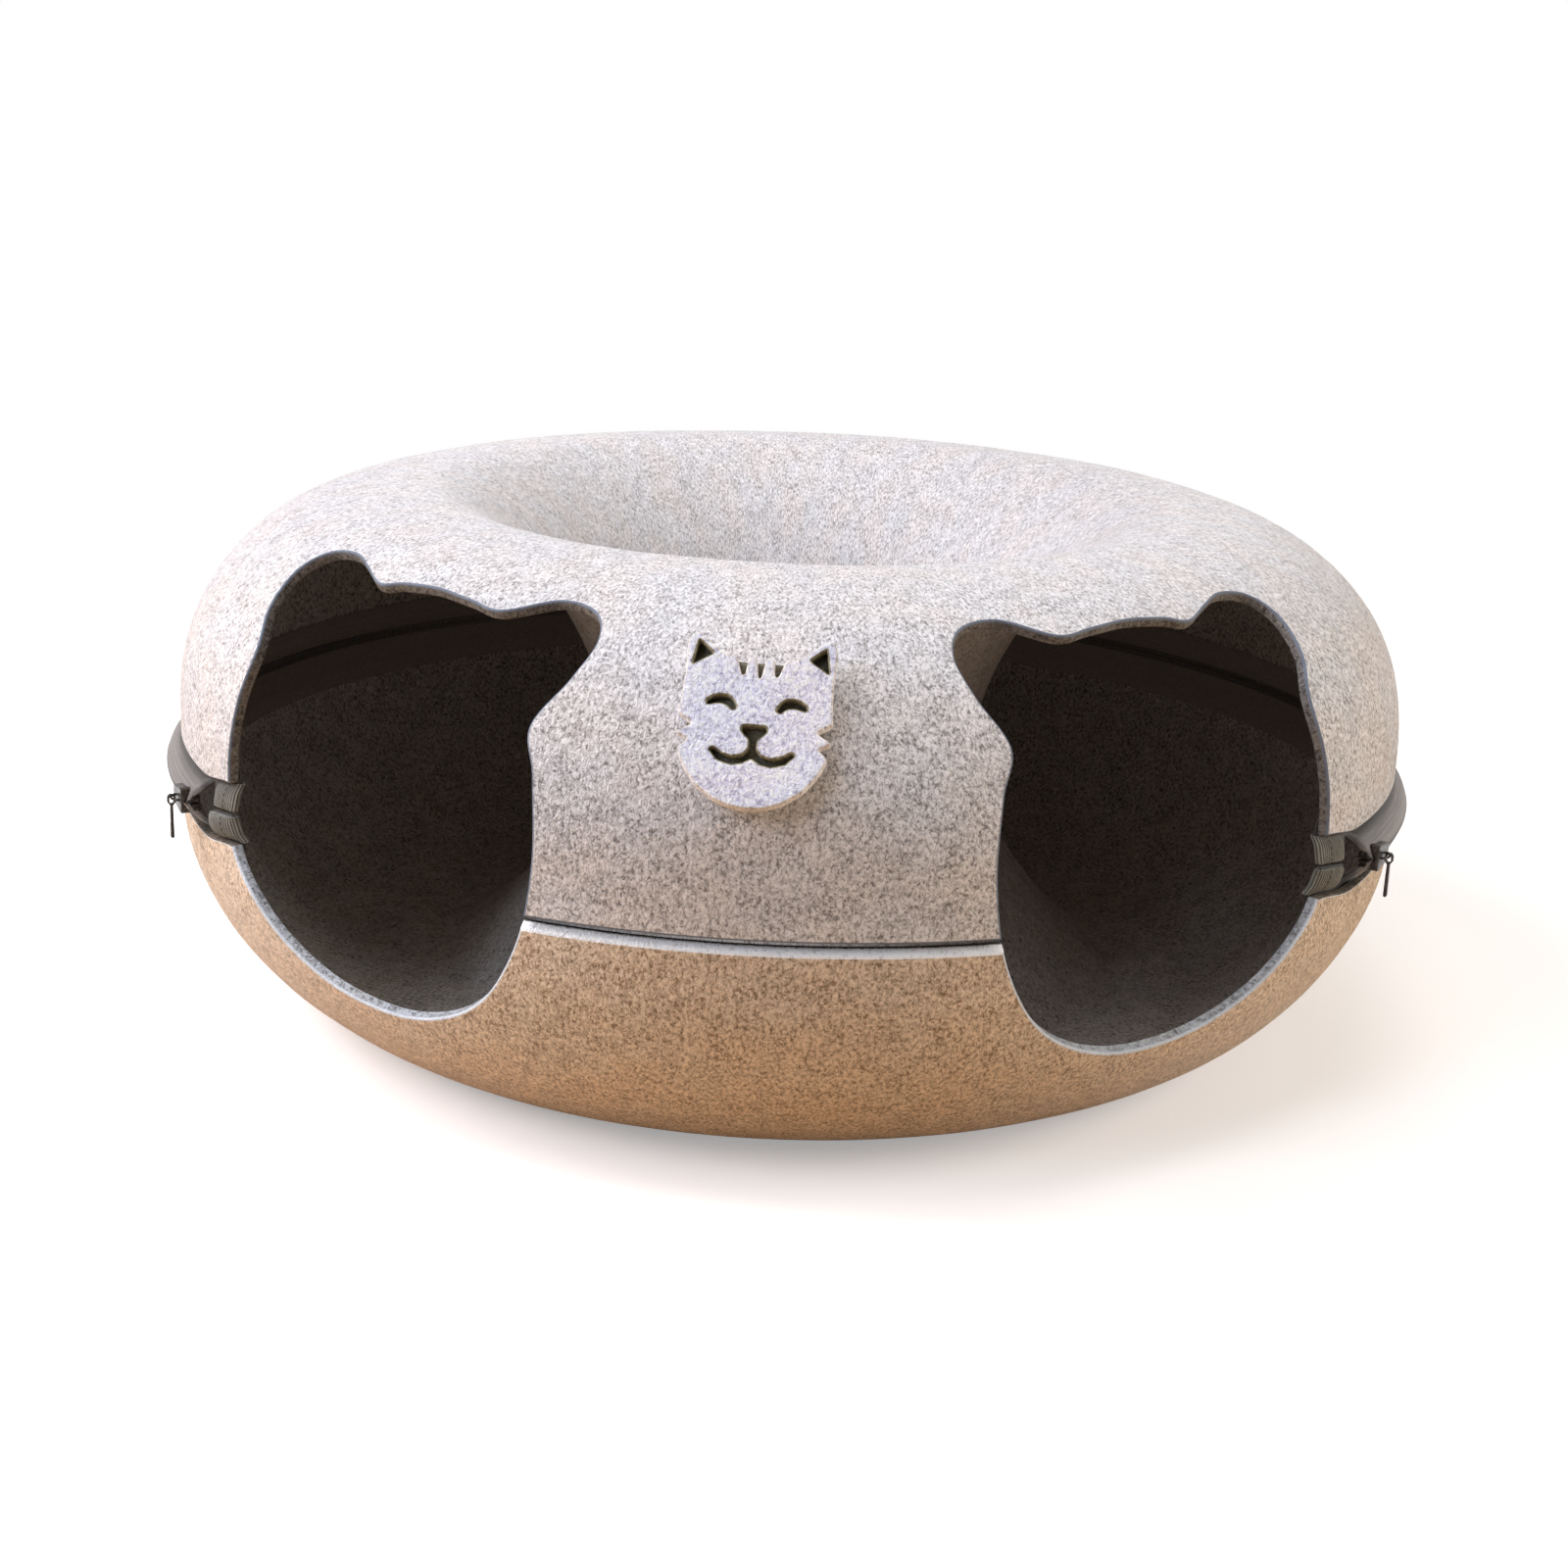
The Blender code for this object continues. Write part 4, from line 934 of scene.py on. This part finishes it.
def make_band(name, node, side):
    """One half of the zip's tape, bulging out between the rims and parted near the sliders."""
    start = door_edge(side, [TAPE_END_HEIGHT])[0]
    ends = list(np.arange(start, MOUTH_ANGLE + along_ring(TAPE_END_REACH), along_ring(TAPE_END_STEP)))
    steps = int((math.tau - 2 * ends[-1]) / along_ring(TAPE_STEP))
    middle = np.linspace(ends[-1], math.tau - ends[-1], steps)
    angles = ends + list(middle[1:-1]) + [math.tau - angle for angle in reversed(ends)]
    rings = []
    flats = []
    for angle in angles:
        turn = min(angle, math.tau - angle)
        face = curve_through(face_at(turn), TAPE_ACROSS)
        closed = ease(turn, PARTED_ANGLE, MOUTH_ANGLE + along_ring(0.01))
        sides = side_of(face)
        front = []
        for k, (place, way) in enumerate(zip(face, sides)):
            share = k / TAPE_ACROSS
            fold = 0.0
            for run, across, seed, depth in TAPE_FOLDS:
                fold += noise.noise(Vector((angle * run, share * across, side * seed))) * depth
            room = math.sin(math.pi * min(max((share - 0.3) / 0.65, 0.0), 1.0))
            front.append(place - way * (fold * room * closed))
        back = [place + way * TAPE for place, way in zip(front, sides)]
        back[-1].x = max(back[-1].x, SLOT_HALF)
        heights = [min(max(place.x, 0.0), RIM_SET_BACK - TAPE_HEM_DROP) for place in front]
        lean = list(door_edge(side, heights) - start)
        hold = 1.0 - ease(turn, start, start + along_ring(TAPE_END_HOLD))
        ring = []
        for place, shift in zip(front + back[::-1], lean + lean[::-1]):
            here = turn + shift * hold + along_ring(TAPE_END_SHIFT) * hold
            ring.append(zip_point(here if angle < math.pi else math.tau - here, side * place.x, place.y))
            flats.append((angle * OUTER_RADIUS, place.x * side, place.y))
        rings.append(ring)
    dress(strip_solid(name, rings, [TAPE_CLOTH, TAPE_BACK], flats), node)


def tape_slope(height):
    """How far the closed tape's face falls from its ridge, at a height on the zip."""
    return (TAPE_RIDGE - BROW[1]) * min(max(height / BROW[0], 0.0), 1.0) ** 1.3


def make_coil(name, node, side):
    """One half of the zip's coil, a nylon thread wound in flat loops along the tape's edge."""
    start = MOUTH_ANGLE - along_ring(COIL_LEAD)
    reach = math.tau - 2.0 * start
    steps = int(reach * OUTER_RADIUS / COIL_PITCH) * len(COIL_LOOP)
    path = []
    for step in range(steps + 1):
        height, stand_off = COIL_LOOP[step % len(COIL_LOOP)]
        angle = start + reach * step / steps + (along_ring(COIL_PITCH / 2.0) if side < 0 else 0.0)
        tall = height * (COIL_WIDTH + COIL_OVERLAP) - COIL_OVERLAP
        low = TAPE_RIDGE - TAPE - COIL_DEPTH + COIL_WIRE
        high = TAPE_RIDGE - TAPE - tape_slope(max(tall, 0.0)) - COIL_WIRE * 1.3
        place = (min(max(angle, start), math.tau - start), side * tall, blend(low, high, stand_off))
        path.append(zip_point(*place))
    points = np.array(path)
    run = np.gradient(points, axis=0)
    run /= np.linalg.norm(run, axis=1)[:, None] + 1e-12
    first = unit(np.cross(run, np.array([0.31, 0.55, 0.77])))
    second = np.cross(run, first)
    turns = [k / COIL_SIDES * math.tau for k in range(COIL_SIDES)]
    rings = [points + (first * math.cos(turn) + second * math.sin(turn)) * COIL_WIRE for turn in turns]
    faces = tube_faces(len(points), COIL_SIDES)
    last = (len(points) - 1) * COIL_SIDES
    faces.append(tuple(range(COIL_SIDES))[::-1])
    faces.append(tuple(range(last, last + COIL_SIDES)))
    made = new_object(name, np.stack(rings, axis=1).reshape(-1, 3), faces, [COIL])
    mend(made, face_outwards)
    dress(made, node)


# Twill tabs over the tape's ends

TAB = 0.0011
TAB_INNER_LENGTH = 0.018
TAB_RIB_DEPTH = 0.0003
TAB_CORNER = 0.0045
TAB_SLACK = 0.0002
TAB_ROWS = 24
TAB_LEG_STEPS = 128
TAB_INNER_STEPS = 40
TAB_FOLD = 0.0009
TAB_FOLD_STEPS = 28
TAB_PUFFS = {
    ("upper", "left"): (0.0014, 0.021), ("lower", "left"): (0.004, 0.0285),
    ("upper", "right"): (0.0012, 0.023), ("lower", "right"): (0.0018, 0.0245),
}


def tab_line(outer, inner, leg, inner_leg, puff):
    """The tab's inner face as (run, stand-off, way out, walk), from its outer end round the fold."""
    centre = (outer + inner) / 2.0
    half = (outer - inner) / 2.0
    line = []
    for step in range(TAB_LEG_STEPS, 0, -1):
        t = step / TAB_LEG_STEPS
        lift = puff * math.sin(math.pi * min(t * 1.02, 1.0)) ** 0.7
        line.append((leg * t, outer + lift, (0.0, 1.0), leg * t))
    for step in range(TAB_FOLD_STEPS + 1):
        turn = blend(math.pi / 2.0, -math.pi / 2.0, step / TAB_FOLD_STEPS)
        walk = (turn - math.pi / 2.0) * (half + TAB)
        way = (-math.cos(turn), math.sin(turn))
        line.append((way[0] * TAB_FOLD, centre + half * way[1], way, walk))
    for step in range(1, TAB_INNER_STEPS + 1):
        run = inner_leg * step / TAB_INNER_STEPS
        line.append((run, inner, (0.0, -1.0), walk - run))
    return line


def make_tab(name, node, side, end, puff, length):
    """A strip of ribbed twill, folded over one end of the tape and sewn down."""
    face = sorted((p.x, p.y) for p in curve_through(OPEN_FACE, TAPE_ACROSS))
    low, high = TAPE_OPEN_HEIGHT + CLEARANCE, RIM_SET_BACK - TAPE_HEM_DROP - CLEARANCE
    heights = [blend(low, high, row / (TAB_ROWS - 1)) for row in range(TAB_ROWS)]
    rings = []
    flats = []
    stands = np.interp(heights, *np.array(face).T)
    for row, (height, edge, stand) in enumerate(zip(heights, door_edge(side, heights), stands)):
        place = 2.0 * row / (TAB_ROWS - 1) - 1.0
        round_off = (1.0 - math.sqrt(max(0.0, 1.0 - abs(place) ** 3.0))) * TAB_CORNER
        crown = math.sqrt(max(0.0, 1.0 - place ** 2))
        faces = (stand + CLEARANCE, stand - TAPE - CLEARANCE - TAB_SLACK)
        legs = (length - round_off, TAB_INNER_LENGTH - round_off)
        near = []
        far = []
        for run, out, way, walk in tab_line(*faces, *legs, puff * crown):
            rib = 0.5 - 0.5 * math.cos(walk / TAB_RIB * math.tau)
            away = TAB + TAB_RIB_DEPTH * (rib - 0.5)
            far.append((run + way[0] * away, out + way[1] * away, walk))
            near.append((run, out, walk))
        ring = []
        for run, out, walk in far + near[::-1]:
            ring.append(zip_point(end * (edge + along_ring(run)), side * height, out))
            flats.append((walk, side * height, out))
        rings.append(ring)
    dress(strip_solid(name, rings, [TWILL], flats), node)


for level, side in (("upper", 1), ("lower", -1)):
    make_band("zip_band_" + level, "zip_tape_" + level, side)
    make_coil("zip_teeth_" + level, "zip_coil_" + level, side)
    for hand, end in (("left", -1), ("right", 1)):
        place = "%s_%s" % (level, hand)
        make_tab("twill_tab_" + place, "end_tab_" + place, side, end, *TAB_PUFFS[level, hand])


# The badge, its pad and the tape round the hole

BADGE_HALF_WIDTH = 0.0302
BADGE_ANGLE = math.radians(-1.1)
BADGE_UP_SHARE = 0.425
BADGE_TILT = math.radians(-2.0)
BADGE_STAND_OFF = 0.0016
BADGE_ROUNDING = 0.0007
BADGE_GRID = 0.0016
BADGE_WAVE = 0.00022
BADGE_OUTLINE_SHARES = (
    (0.0, -1.11), (0.22, -1.09), (0.44, -1.01), (0.68, -0.84), (0.84, -0.63), (0.92, -0.48), (0.96, -0.38),
    (0.83, -0.25), (1.0, -0.17), (0.79, -0.04), (0.99, 0.09), (0.96, 0.38), (0.95, 0.64), (0.965, 1.03),
    (0.94, 1.15), (0.85, 1.21), (0.74, 1.14), (0.47, 0.92), (0.315, 0.915), (0.235, 0.66), (0.19, 0.67),
    (0.17, 0.91), (0.06, 0.905), (0.015, 0.63),
)
BADGE_EAR_SHARES = ((0.82, 1.1), (0.62, 0.93), (0.88, 0.76))
BADGE_EYE_SHARES = (
    (0.25, 0.21), (0.3, 0.31), (0.37, 0.37), (0.47, 0.38), (0.57, 0.35), (0.65, 0.29), (0.63, 0.23),
    (0.54, 0.26), (0.46, 0.27), (0.38, 0.25), (0.31, 0.18),
)
BADGE_MOUTH_SHARES = (
    (0.0, -0.01), (0.14, -0.01), (0.17, -0.05), (0.15, -0.1), (0.05, -0.19), (0.04, -0.32), (0.12, -0.41),
    (0.25, -0.44), (0.38, -0.41), (0.5, -0.33), (0.55, -0.36), (0.43, -0.49), (0.26, -0.54),
    (0.12, -0.515), (0.0, -0.44),
)
SHADE_SHEET_SHARES = (
    (0.0, -1.06), (0.22, -1.05), (0.43, -0.97), (0.65, -0.81), (0.81, -0.6), (0.88, -0.42), (0.88, 0.38),
    (0.9, 1.05), (0.86, 1.13), (0.8, 1.15), (0.72, 1.09), (0.46, 0.895), (0.0, 0.89),
)
PAD_HALF_WIDTH = 0.014
PAD_REACH_SHARE = 0.075
PAD_CORNER = 0.003
PAD_CORNER_SHARE = 0.15
PAD_STEPS = 24
PAD_NAP = 0.0001
PAD_NAP_SCALE = 900.0
HOLE_TAPE = 0.001
HOLE_TAPE_HEIGHT = 0.018
HOLE_TAPE_STEPS = 240
HOLE_TAPE_ROWS = 14
HOLE_TAPE_SEAM_SHARE = 0.12
HOLE_TAPE_SEAM_WIDTH = 0.05
HOLE_TAPE_SEWN = 0.55
HOLE_TAPE_CRUMPLE = 0.25


def mirrored(points):
    return tuple((-x, y) for x, y in reversed(points))


def softened(points, step):
    """A closed line through points of the badge, sampled finely, eased, with its inside on its left."""
    line = np.array(points) * BADGE_HALF_WIDTH
    places = []
    for start, end in zip(line, np.roll(line, -1, axis=0)):
        parts = max(1, int(round(np.linalg.norm(end - start) / step)))
        places += [start + (end - start) * k / parts for k in range(parts)]
    loop = np.array(places)
    for _ in range(3):
        loop = (np.roll(loop, 1, axis=0) + 2.0 * loop + np.roll(loop, -1, axis=0)) / 4.0
    x, y = loop.T
    area = (x * np.roll(y, -1) - y * np.roll(x, -1)).sum()
    return loop if area > 0 else loop[::-1].copy()


def placed(axes, origin):
    """The matrix that lays x, y and z on three axes at an origin."""
    return Matrix.Translation(origin) @ Matrix(axes).transposed().to_4x4()


def badge_frame(stand_off):
    radius, height, out_r, out_z = TOP.at(BADGE_UP_SHARE * TOP.wall_length)
    radial = Vector((math.sin(BADGE_ANGLE), -math.cos(BADGE_ANGLE), 0.0))
    level = Vector((math.cos(BADGE_ANGLE), math.sin(BADGE_ANGLE), 0.0))
    outward = radial * out_r + Vector((0.0, 0.0, out_z))
    rise = radial * -out_z + Vector((0.0, 0.0, out_r))
    across = level * math.cos(BADGE_TILT) + rise * math.sin(BADGE_TILT)
    up = rise * math.cos(BADGE_TILT) - level * math.sin(BADGE_TILT)
    centre = radial * radius + Vector((0.0, 0.0, height)) + outward * stand_off
    return placed((across, up, outward), centre)


def make_badge():
    """The cat's face, cut from felt, with rounded edges and a slightly wavy front."""
    outer = softened(BADGE_OUTLINE_SHARES + mirrored(BADGE_OUTLINE_SHARES[1:]), 0.0006)
    holes = [BADGE_MOUTH_SHARES + mirrored(BADGE_MOUTH_SHARES[1:-1])]
    for shares in (BADGE_EAR_SHARES, BADGE_EYE_SHARES):
        holes += [shares, mirrored(shares)]
    lines = [outer] + [softened(hole, 0.0005)[::-1] for hole in holes]
    inner = [offset(line, BADGE_ROUNDING, True) for line in lines]
    loops = []
    first = 0
    for line in inner:
        loops.append(list(range(first, first + len(line))))
        first += len(line)
    reach = BADGE_HALF_WIDTH * 1.3
    grid = staggered((-reach, -reach), (reach, reach), (BADGE_GRID, BADGE_GRID))
    grid = grid[inside_polygon(grid, outer)]
    for line in inner:
        grid = grid[distance_to(grid, line, True) > BADGE_GRID * 0.6]
        grid = grid[inside_polygon(grid, line) == (line is inner[0])]
    verts, faces, order = triangulate(np.concatenate(inner + [grid]), loops)
    plate = Plate(verts, faces, (0, 0))
    for line, loop in zip(lines, loops):
        rows = [(offset(line, inward, True), depth) for inward, depth in rounded_rows(BADGE_ROUNDING)]
        # The holes' walls take the material of painted shade, the outer edge the badge's cut felt.
        kind = 1 if line is outer else 2
        plate.add_edge([order[i] for i in loop], rows, False, True, lambda i, level: kind)
    places = np.concatenate(plate.places)
    places[:, 2] = FELT - places[:, 2]
    places[:, 2] += np.where(places[:, 2] > FELT * 0.5, wave(places, 55.0, 4.0) * BADGE_WAVE, 0.0)
    placing = badge_frame(BADGE_STAND_OFF)
    materials = [FELT_BADGE, FELT_BADGE_CUT, FELT_BADGE_HOLE_SHADE]
    solid = [placing @ Vector(p) for p in places]
    made = new_object("badge_face", solid, plate.faces, materials, plate.kinds, places + (0.4, 0.3, 0.0))
    dress(made, "badge")


def make_shade_sheet():
    """A thin dark sheet behind the badge: painted shade seen through its ear holes and forehead notches.
    """
    loop = softened(SHADE_SHEET_SHARES + mirrored(SHADE_SHEET_SHARES[1:-1]), 0.0012)
    placing = badge_frame(BADGE_STAND_OFF)
    count = len(loop)
    verts = [placing @ Vector((x, y, z)) for z in (-CLEARANCE * 0.95, -CLEARANCE * 0.05) for x, y in loop]
    faces = [tuple(range(count))[::-1], tuple(range(count, 2 * count))] + tube_faces(2, count)
    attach(new_object("badge_shade_sheet", verts, faces, [PAD_AND_SHADE_CLOTH]), "tunnel")


def make_pad():
    """The hook pad that holds the badge on the wall."""
    placing = badge_frame(0.0)
    radius, height, out_r, out_z = TOP.at(BADGE_UP_SHARE * TOP.wall_length)
    rings = []
    for step in range(PAD_STEPS + 1):
        share = blend(-1.0, 1.0, step / PAD_STEPS)
        place = TOP.at((BADGE_UP_SHARE + PAD_REACH_SHARE * share) * TOP.wall_length)
        off_r = place[0] + place[2] * CLEARANCE - radius
        off_z = place[1] + place[3] * CLEARANCE - height
        level = -off_r * out_z + off_z * out_r
        near = off_r * out_r + off_z * out_z
        corner = max(abs(share) - 1.0 + PAD_CORNER_SHARE, 0.0) / PAD_CORNER_SHARE
        side = PAD_HALF_WIDTH - PAD_CORNER * (1.0 - math.sqrt(1.0 - corner * corner * 0.999))
        across = [blend(-side, side, k / PAD_STEPS) for k in range(PAD_STEPS + 1)]
        rough = [PAD_NAP * noise.noise(Vector((x, level, 0.0)) * PAD_NAP_SCALE) for x in across]
        far = BADGE_STAND_OFF - CLEARANCE - 2.0 * PAD_NAP
        ring = [(x, level, near) for x in across]
        ring += [(x, level, far + lift) for x, lift in zip(across[::-1], rough)]
        rings.append([placing @ Vector(point) for point in ring])
    dress(strip_solid("hook_pad", rings, [PAD_AND_SHADE_CLOTH]), "badge_pad")


def make_hole_tape():
    """The twill tape sewn over the seam in the middle hole, on the tunnel's side."""
    near = HOLE_RADIUS + FELT + CLEARANCE
    size = 2 * (HOLE_TAPE_ROWS + 1)
    verts = []
    flats = []
    for index in range(HOLE_TAPE_STEPS):
        angle = index / HOLE_TAPE_STEPS * math.tau
        for k in range(size):
            back = k > HOLE_TAPE_ROWS
            share = (size - 1 - k if back else k) / HOLE_TAPE_ROWS
            height = blend(-HOLE_TAPE_HEIGHT / 2.0, HOLE_TAPE_HEIGHT / 2.0, share)
            seam = abs(min(share, 1.0 - share) - HOLE_TAPE_SEAM_SHARE) / HOLE_TAPE_SEAM_WIDTH
            thick = HOLE_TAPE * blend(HOLE_TAPE_SEWN, 1.0, 1.0 - math.exp(-seam * seam))
            crumple = noise.noise(Vector((math.sin(angle) * 9.0, math.cos(angle) * 9.0, share * 2.0)))
            thick = min(thick * (1.0 - HOLE_TAPE_CRUMPLE * crumple), HOLE_TAPE)
            radius = near + (thick if back else 0.0)
            verts.append((radius * math.sin(angle), -radius * math.cos(angle), SPLIT_HEIGHT + height))
            flats.append((height, angle * near, radius - near))
    total = size * HOLE_TAPE_STEPS
    faces = [tuple(i % total for i in face) for face in tube_faces(HOLE_TAPE_STEPS + 1, size)]
    made = new_object("hole_tape_cloth", verts, faces, [TWILL], None, flats)
    mend(made, face_outwards)
    dress(made, "hole_seam_tape")


make_badge()
make_shade_sheet()
make_pad()
make_hole_tape()

for thing in frame["nodes"].values():
    if not thing.hide_render:
        thing.data.materials.clear()
        thing.data.materials.append(METAL)


# Floor, light and camera

FLOOR_HALF = 8.0
FLOOR_DROP = 0.0004
FLOOR_LIT = (0.62, 0.42, 0.245)
FLOOR_SEEN = (0.92, 0.92, 0.92)
SHADOW_RADIUS = 0.55
WHITE_RADIUS = 1.3
WHITE = (1.0, 1.0, 1.0)
WORLD_LIGHT = (0.03, 0.03, 0.032)
LAMP_SIZE = 1.2
LAMP_AIM = Vector((0.0, 0.0, 0.1))
# Each lamp: name, place, power, colour
LAMPS = (
    ("left_lamp", (-1.9, -0.3, 1.1), 24.5, (1.0, 0.9, 0.86)),
    ("high_left_lamp", (-1.4, 0.0, 1.75), 27.5, (0.92, 0.93, 1.0)),
    ("front_left_lamp", (-1.4, -1.4, 1.5), 18.0, (0.78, 0.86, 1.0)),
    ("top_lamp", (0.0, -0.3, 2.2), 11.5, (1.0, 0.9, 0.84)),
    ("right_lamp", (1.9, -0.3, 0.9), 24.5, (1.0, 0.95, 0.88)),
    ("back_lamp", (0.3, 1.8, 1.6), 6.5, (1.0, 0.95, 0.93)),
)
CAMERA_AZIMUTH = math.radians(1.5)
CAMERA_ELEVATION = math.radians(15.75)
CAMERA_ROLL = math.radians(2.3)
CAMERA_AIM = Vector((0.0, 0.0, 0.12))
CAMERA_DISTANCE = 1.2
CAMERA_LENS = 54.0
CAMERA_SHIFT = (-0.003, -0.033)


def make_stage():
    """A floor that keeps the shadow near the part and is plain white to the camera further out."""
    corners = ((-1, -1), (1, -1), (1, 1), (-1, 1))
    verts = [(x * FLOOR_HALF, y * FLOOR_HALF, -FLOOR_DROP) for x, y in corners]
    n = new_material("floor")
    seen = n.seen("Camera", "Glossy", "Transmission")
    n.finish(n.mix(seen, FLOOR_LIT, FLOOR_SEEN), 0.9, specular=0.1)
    n.shade({"Emission Color": WHITE, "Emission Strength": n.times(seen, 0.35)})
    away = n.add("VectorMath", {0: n.objects()}, operation="LENGTH")["Value"]
    far = n.times(n.spread(away, SHADOW_RADIUS, WHITE_RADIUS), seen)
    both = n.add("MixShader", {0: far, 1: n.shader.outputs[0], 2: n.add("Emission", {})[0]})[0]
    n.put(n.tree.nodes["Material Output"].inputs["Surface"], both)
    new_object("floor", verts, [(0, 1, 2, 3)], [n.owner])


def make_world():
    world = bpy.data.worlds.new("studio")
    bpy.context.scene.world = world
    n = Nodes(world)
    colour = n.mix(n.seen("Camera", "Glossy"), WORLD_LIGHT, WHITE)
    n.put(n.tree.nodes["Background"].inputs["Color"], colour)


def make_lamp(name, place, power, colour):
    data = bpy.data.lights.new(name, "AREA")
    data.shape = "DISK"
    data.size = LAMP_SIZE
    data.energy = power
    data.color = colour
    lamp = in_scene(name, data)
    lamp.location = place
    lamp.rotation_euler = (LAMP_AIM - Vector(place)).to_track_quat("-Z", "Y").to_euler()


def make_camera():
    away = math.cos(CAMERA_ELEVATION)
    back = Vector((
        math.sin(CAMERA_AZIMUTH) * away, -math.cos(CAMERA_AZIMUTH) * away, math.sin(CAMERA_ELEVATION)
    ))
    right = Vector((math.cos(CAMERA_AZIMUTH), math.sin(CAMERA_AZIMUTH), 0.0))
    up = back.cross(right)
    across = math.cos(CAMERA_ROLL) * right + math.sin(CAMERA_ROLL) * up
    rise = -math.sin(CAMERA_ROLL) * right + math.cos(CAMERA_ROLL) * up
    data = bpy.data.cameras.new("camera")
    data.lens = CAMERA_LENS
    data.sensor_width = 36.0
    data.shift_x, data.shift_y = CAMERA_SHIFT
    camera = in_scene("camera", data)
    camera.matrix_world = placed((across, rise, back), CAMERA_AIM + back * CAMERA_DISTANCE)
    bpy.context.scene.camera = camera


make_stage()
make_world()
for lamp_row in LAMPS:
    make_lamp(*lamp_row)
make_camera()
bpy.context.scene.view_settings.view_transform = "Standard"
